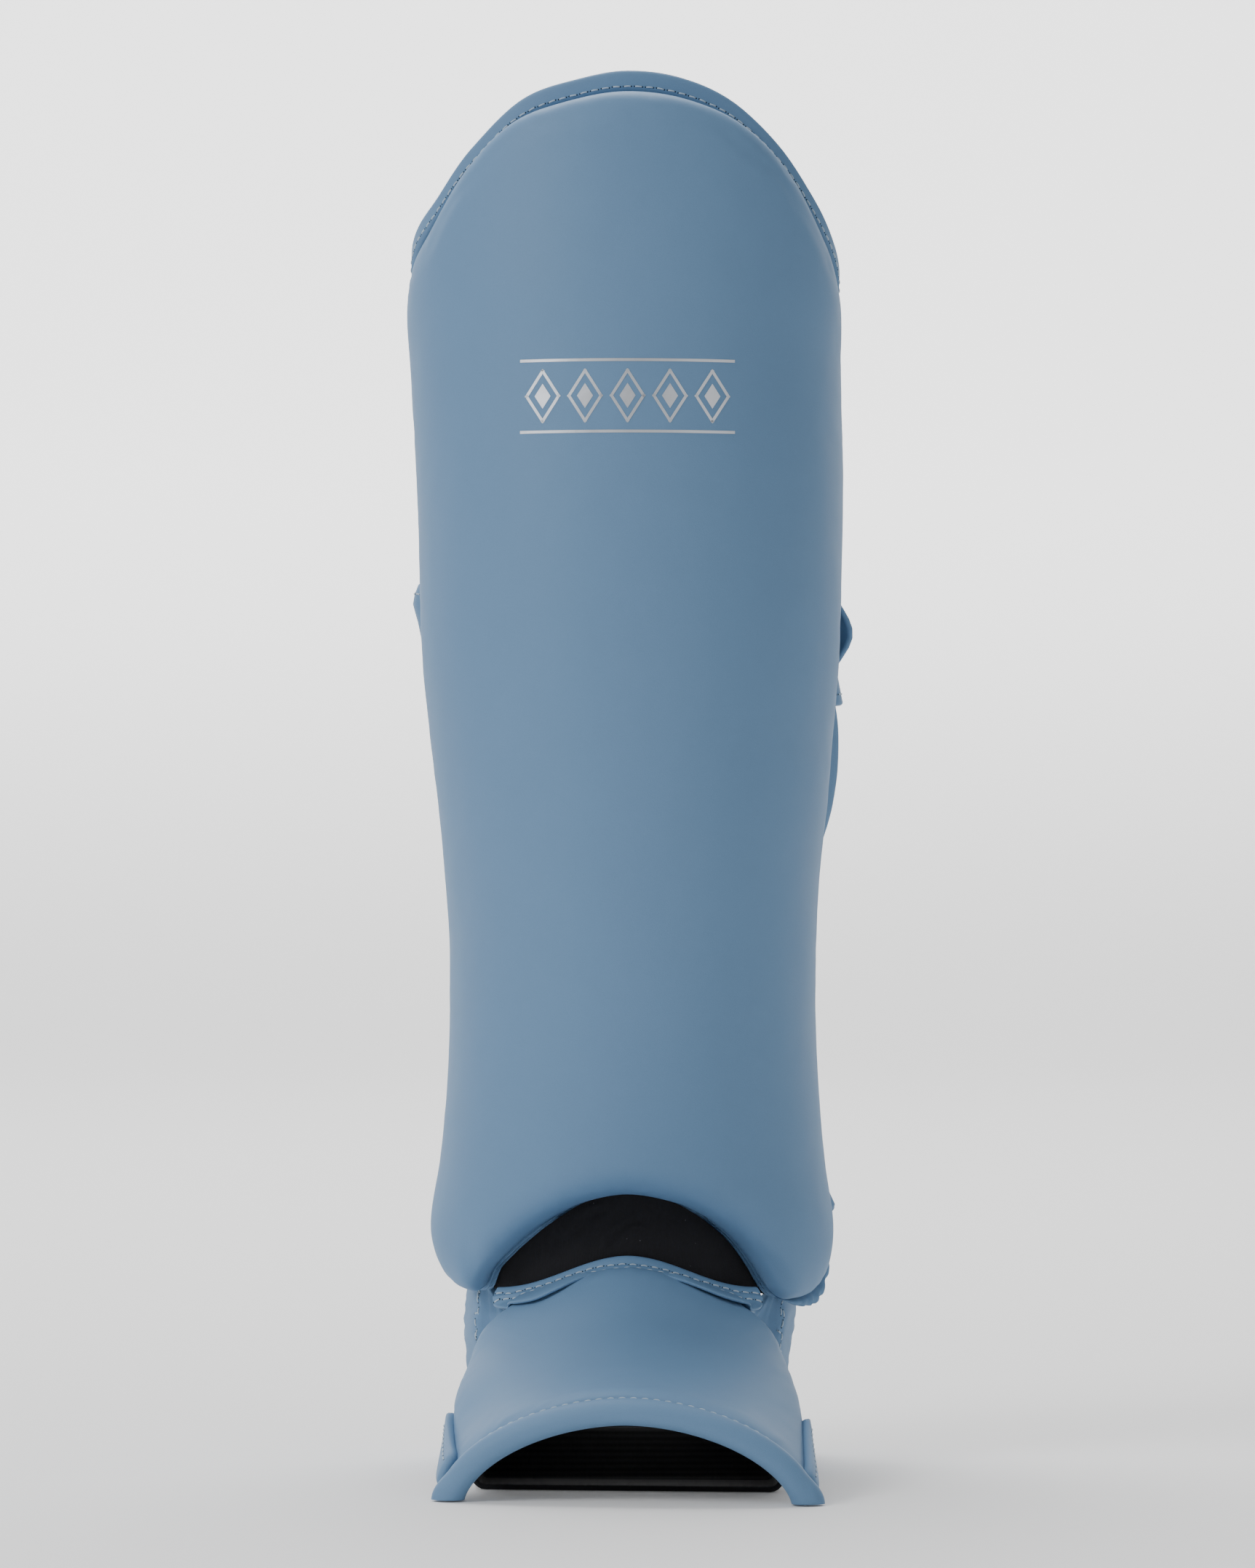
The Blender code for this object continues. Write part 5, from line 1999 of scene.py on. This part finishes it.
def rim_seams():
    """The row in the dip where the rim meets the cover."""
    places = np.linspace(-0.95, 0.97, 260)
    lines = []
    for across in places:
        base, out, ahead = rim_frame(across)
        cover = float(pad_cover_lift(across, 1.0))
        lines.append((
            base + out * (cover + RIM_ROW[0]) - ahead * RIM_ROW[1], out + ahead * 0.7))
    points, out = (np.array(part) for part in zip(*lines))
    return [Seam(points, out, "instep_rim_roll")]


def tab_seams():
    """The row along the inner edge of each tab."""
    seams = []
    low = np.linspace(0.04, 0.96, 40)
    for tab in TABS:
        points = tab_point(tab, TAB_SEAM, low, 2 * GAP + TAB_WALL)
        out = instep_facing(np.full_like(low, tab.side * 0.9), 0.8)
        seams.append(Seam(points, out, "foot_strap_tab_" + tab.name + "_patch"))
    return seams


def strap_seams():
    """Rows along both edges of each calf strap."""
    seams = []
    for name, foot, bulge, curl in CALF_STRAPS:
        piece = name + "_band"
        grid = calf_strap_grid(foot, bulge, curl)
        out = grid_facing(grid)
        face = grid + out * STRAP_WALL
        for row in (1, -2):
            seams.append(Seam(face[row], out[row], piece))
        for column in (4, -5):
            seams.append(Seam(face[1:-1, column], out[1:-1, column], piece))
    return seams


def ankle_seams():
    """An uneven zigzag down the front of each ankle side."""
    seams = []
    for word, side in (("left", -1), ("right", 1)):
        grid = ankle_side_grid(side)
        rows = np.arange(10, grid.shape[0] - 2)
        swing = np.where(np.arange(len(rows)) // ZIGZAG_ROWS % 2 == 0, -1, 1)
        columns = ZIGZAG_COLUMN + ZIGZAG_SWING * swing
        line = grid[rows, columns]
        out = np.tile(unit(np.array((side, -0.6, 0.0))), (len(rows), 1))
        seams.append(Seam(line + out * SNAP_LIFT, out, "ankle_side_panel_" + word))
    return seams


PIECE_STEPS = (
    "stage", "shin_pad", "shin_border", "leg_lining", "instep", "ankle_sides", "straps", "tabs",
    "ornament", "stitches",
)


class GUARD_PT_pieces(bpy.types.Panel):
    """Lists the guard's pieces, sizes and colours."""

    bl_label = "Guard"
    bl_space_type = "VIEW_3D"
    bl_region_type = "UI"
    bl_category = "Guard"

    def draw(self, context):
        column = self.layout.column()
        for step in PIECE_STEPS:
            column.operator("guard." + step)
        for group in (context.scene.guard_sizes, context.scene.guard_colours):
            for name in group.bl_rna.properties.keys():
                if name not in ("rna_type", "name"):
                    column.prop(group, name)


CLASSES = (
    GuardSizes, GuardColours, GUARD_OT_stage, GUARD_OT_shin_pad, GUARD_OT_shin_border,
    GUARD_OT_leg_lining, GUARD_OT_instep, GUARD_OT_ankle_sides, GUARD_OT_straps, GUARD_OT_tabs,
    GUARD_OT_ornament, GUARD_OT_stitches, GUARD_PT_pieces,
)


def register():
    for part in CLASSES:
        bpy.utils.register_class(part)
    bpy.types.Scene.guard_sizes = bpy.props.PointerProperty(type=GuardSizes)
    bpy.types.Scene.guard_colours = bpy.props.PointerProperty(type=GuardColours)


def unregister():
    del bpy.types.Scene.guard_colours
    del bpy.types.Scene.guard_sizes
    for part in reversed(CLASSES):
        bpy.utils.unregister_class(part)


def main():
    register()
    for step in PIECE_STEPS:
        getattr(bpy.ops.guard, step)()


if __name__ == "__main__":
    main()
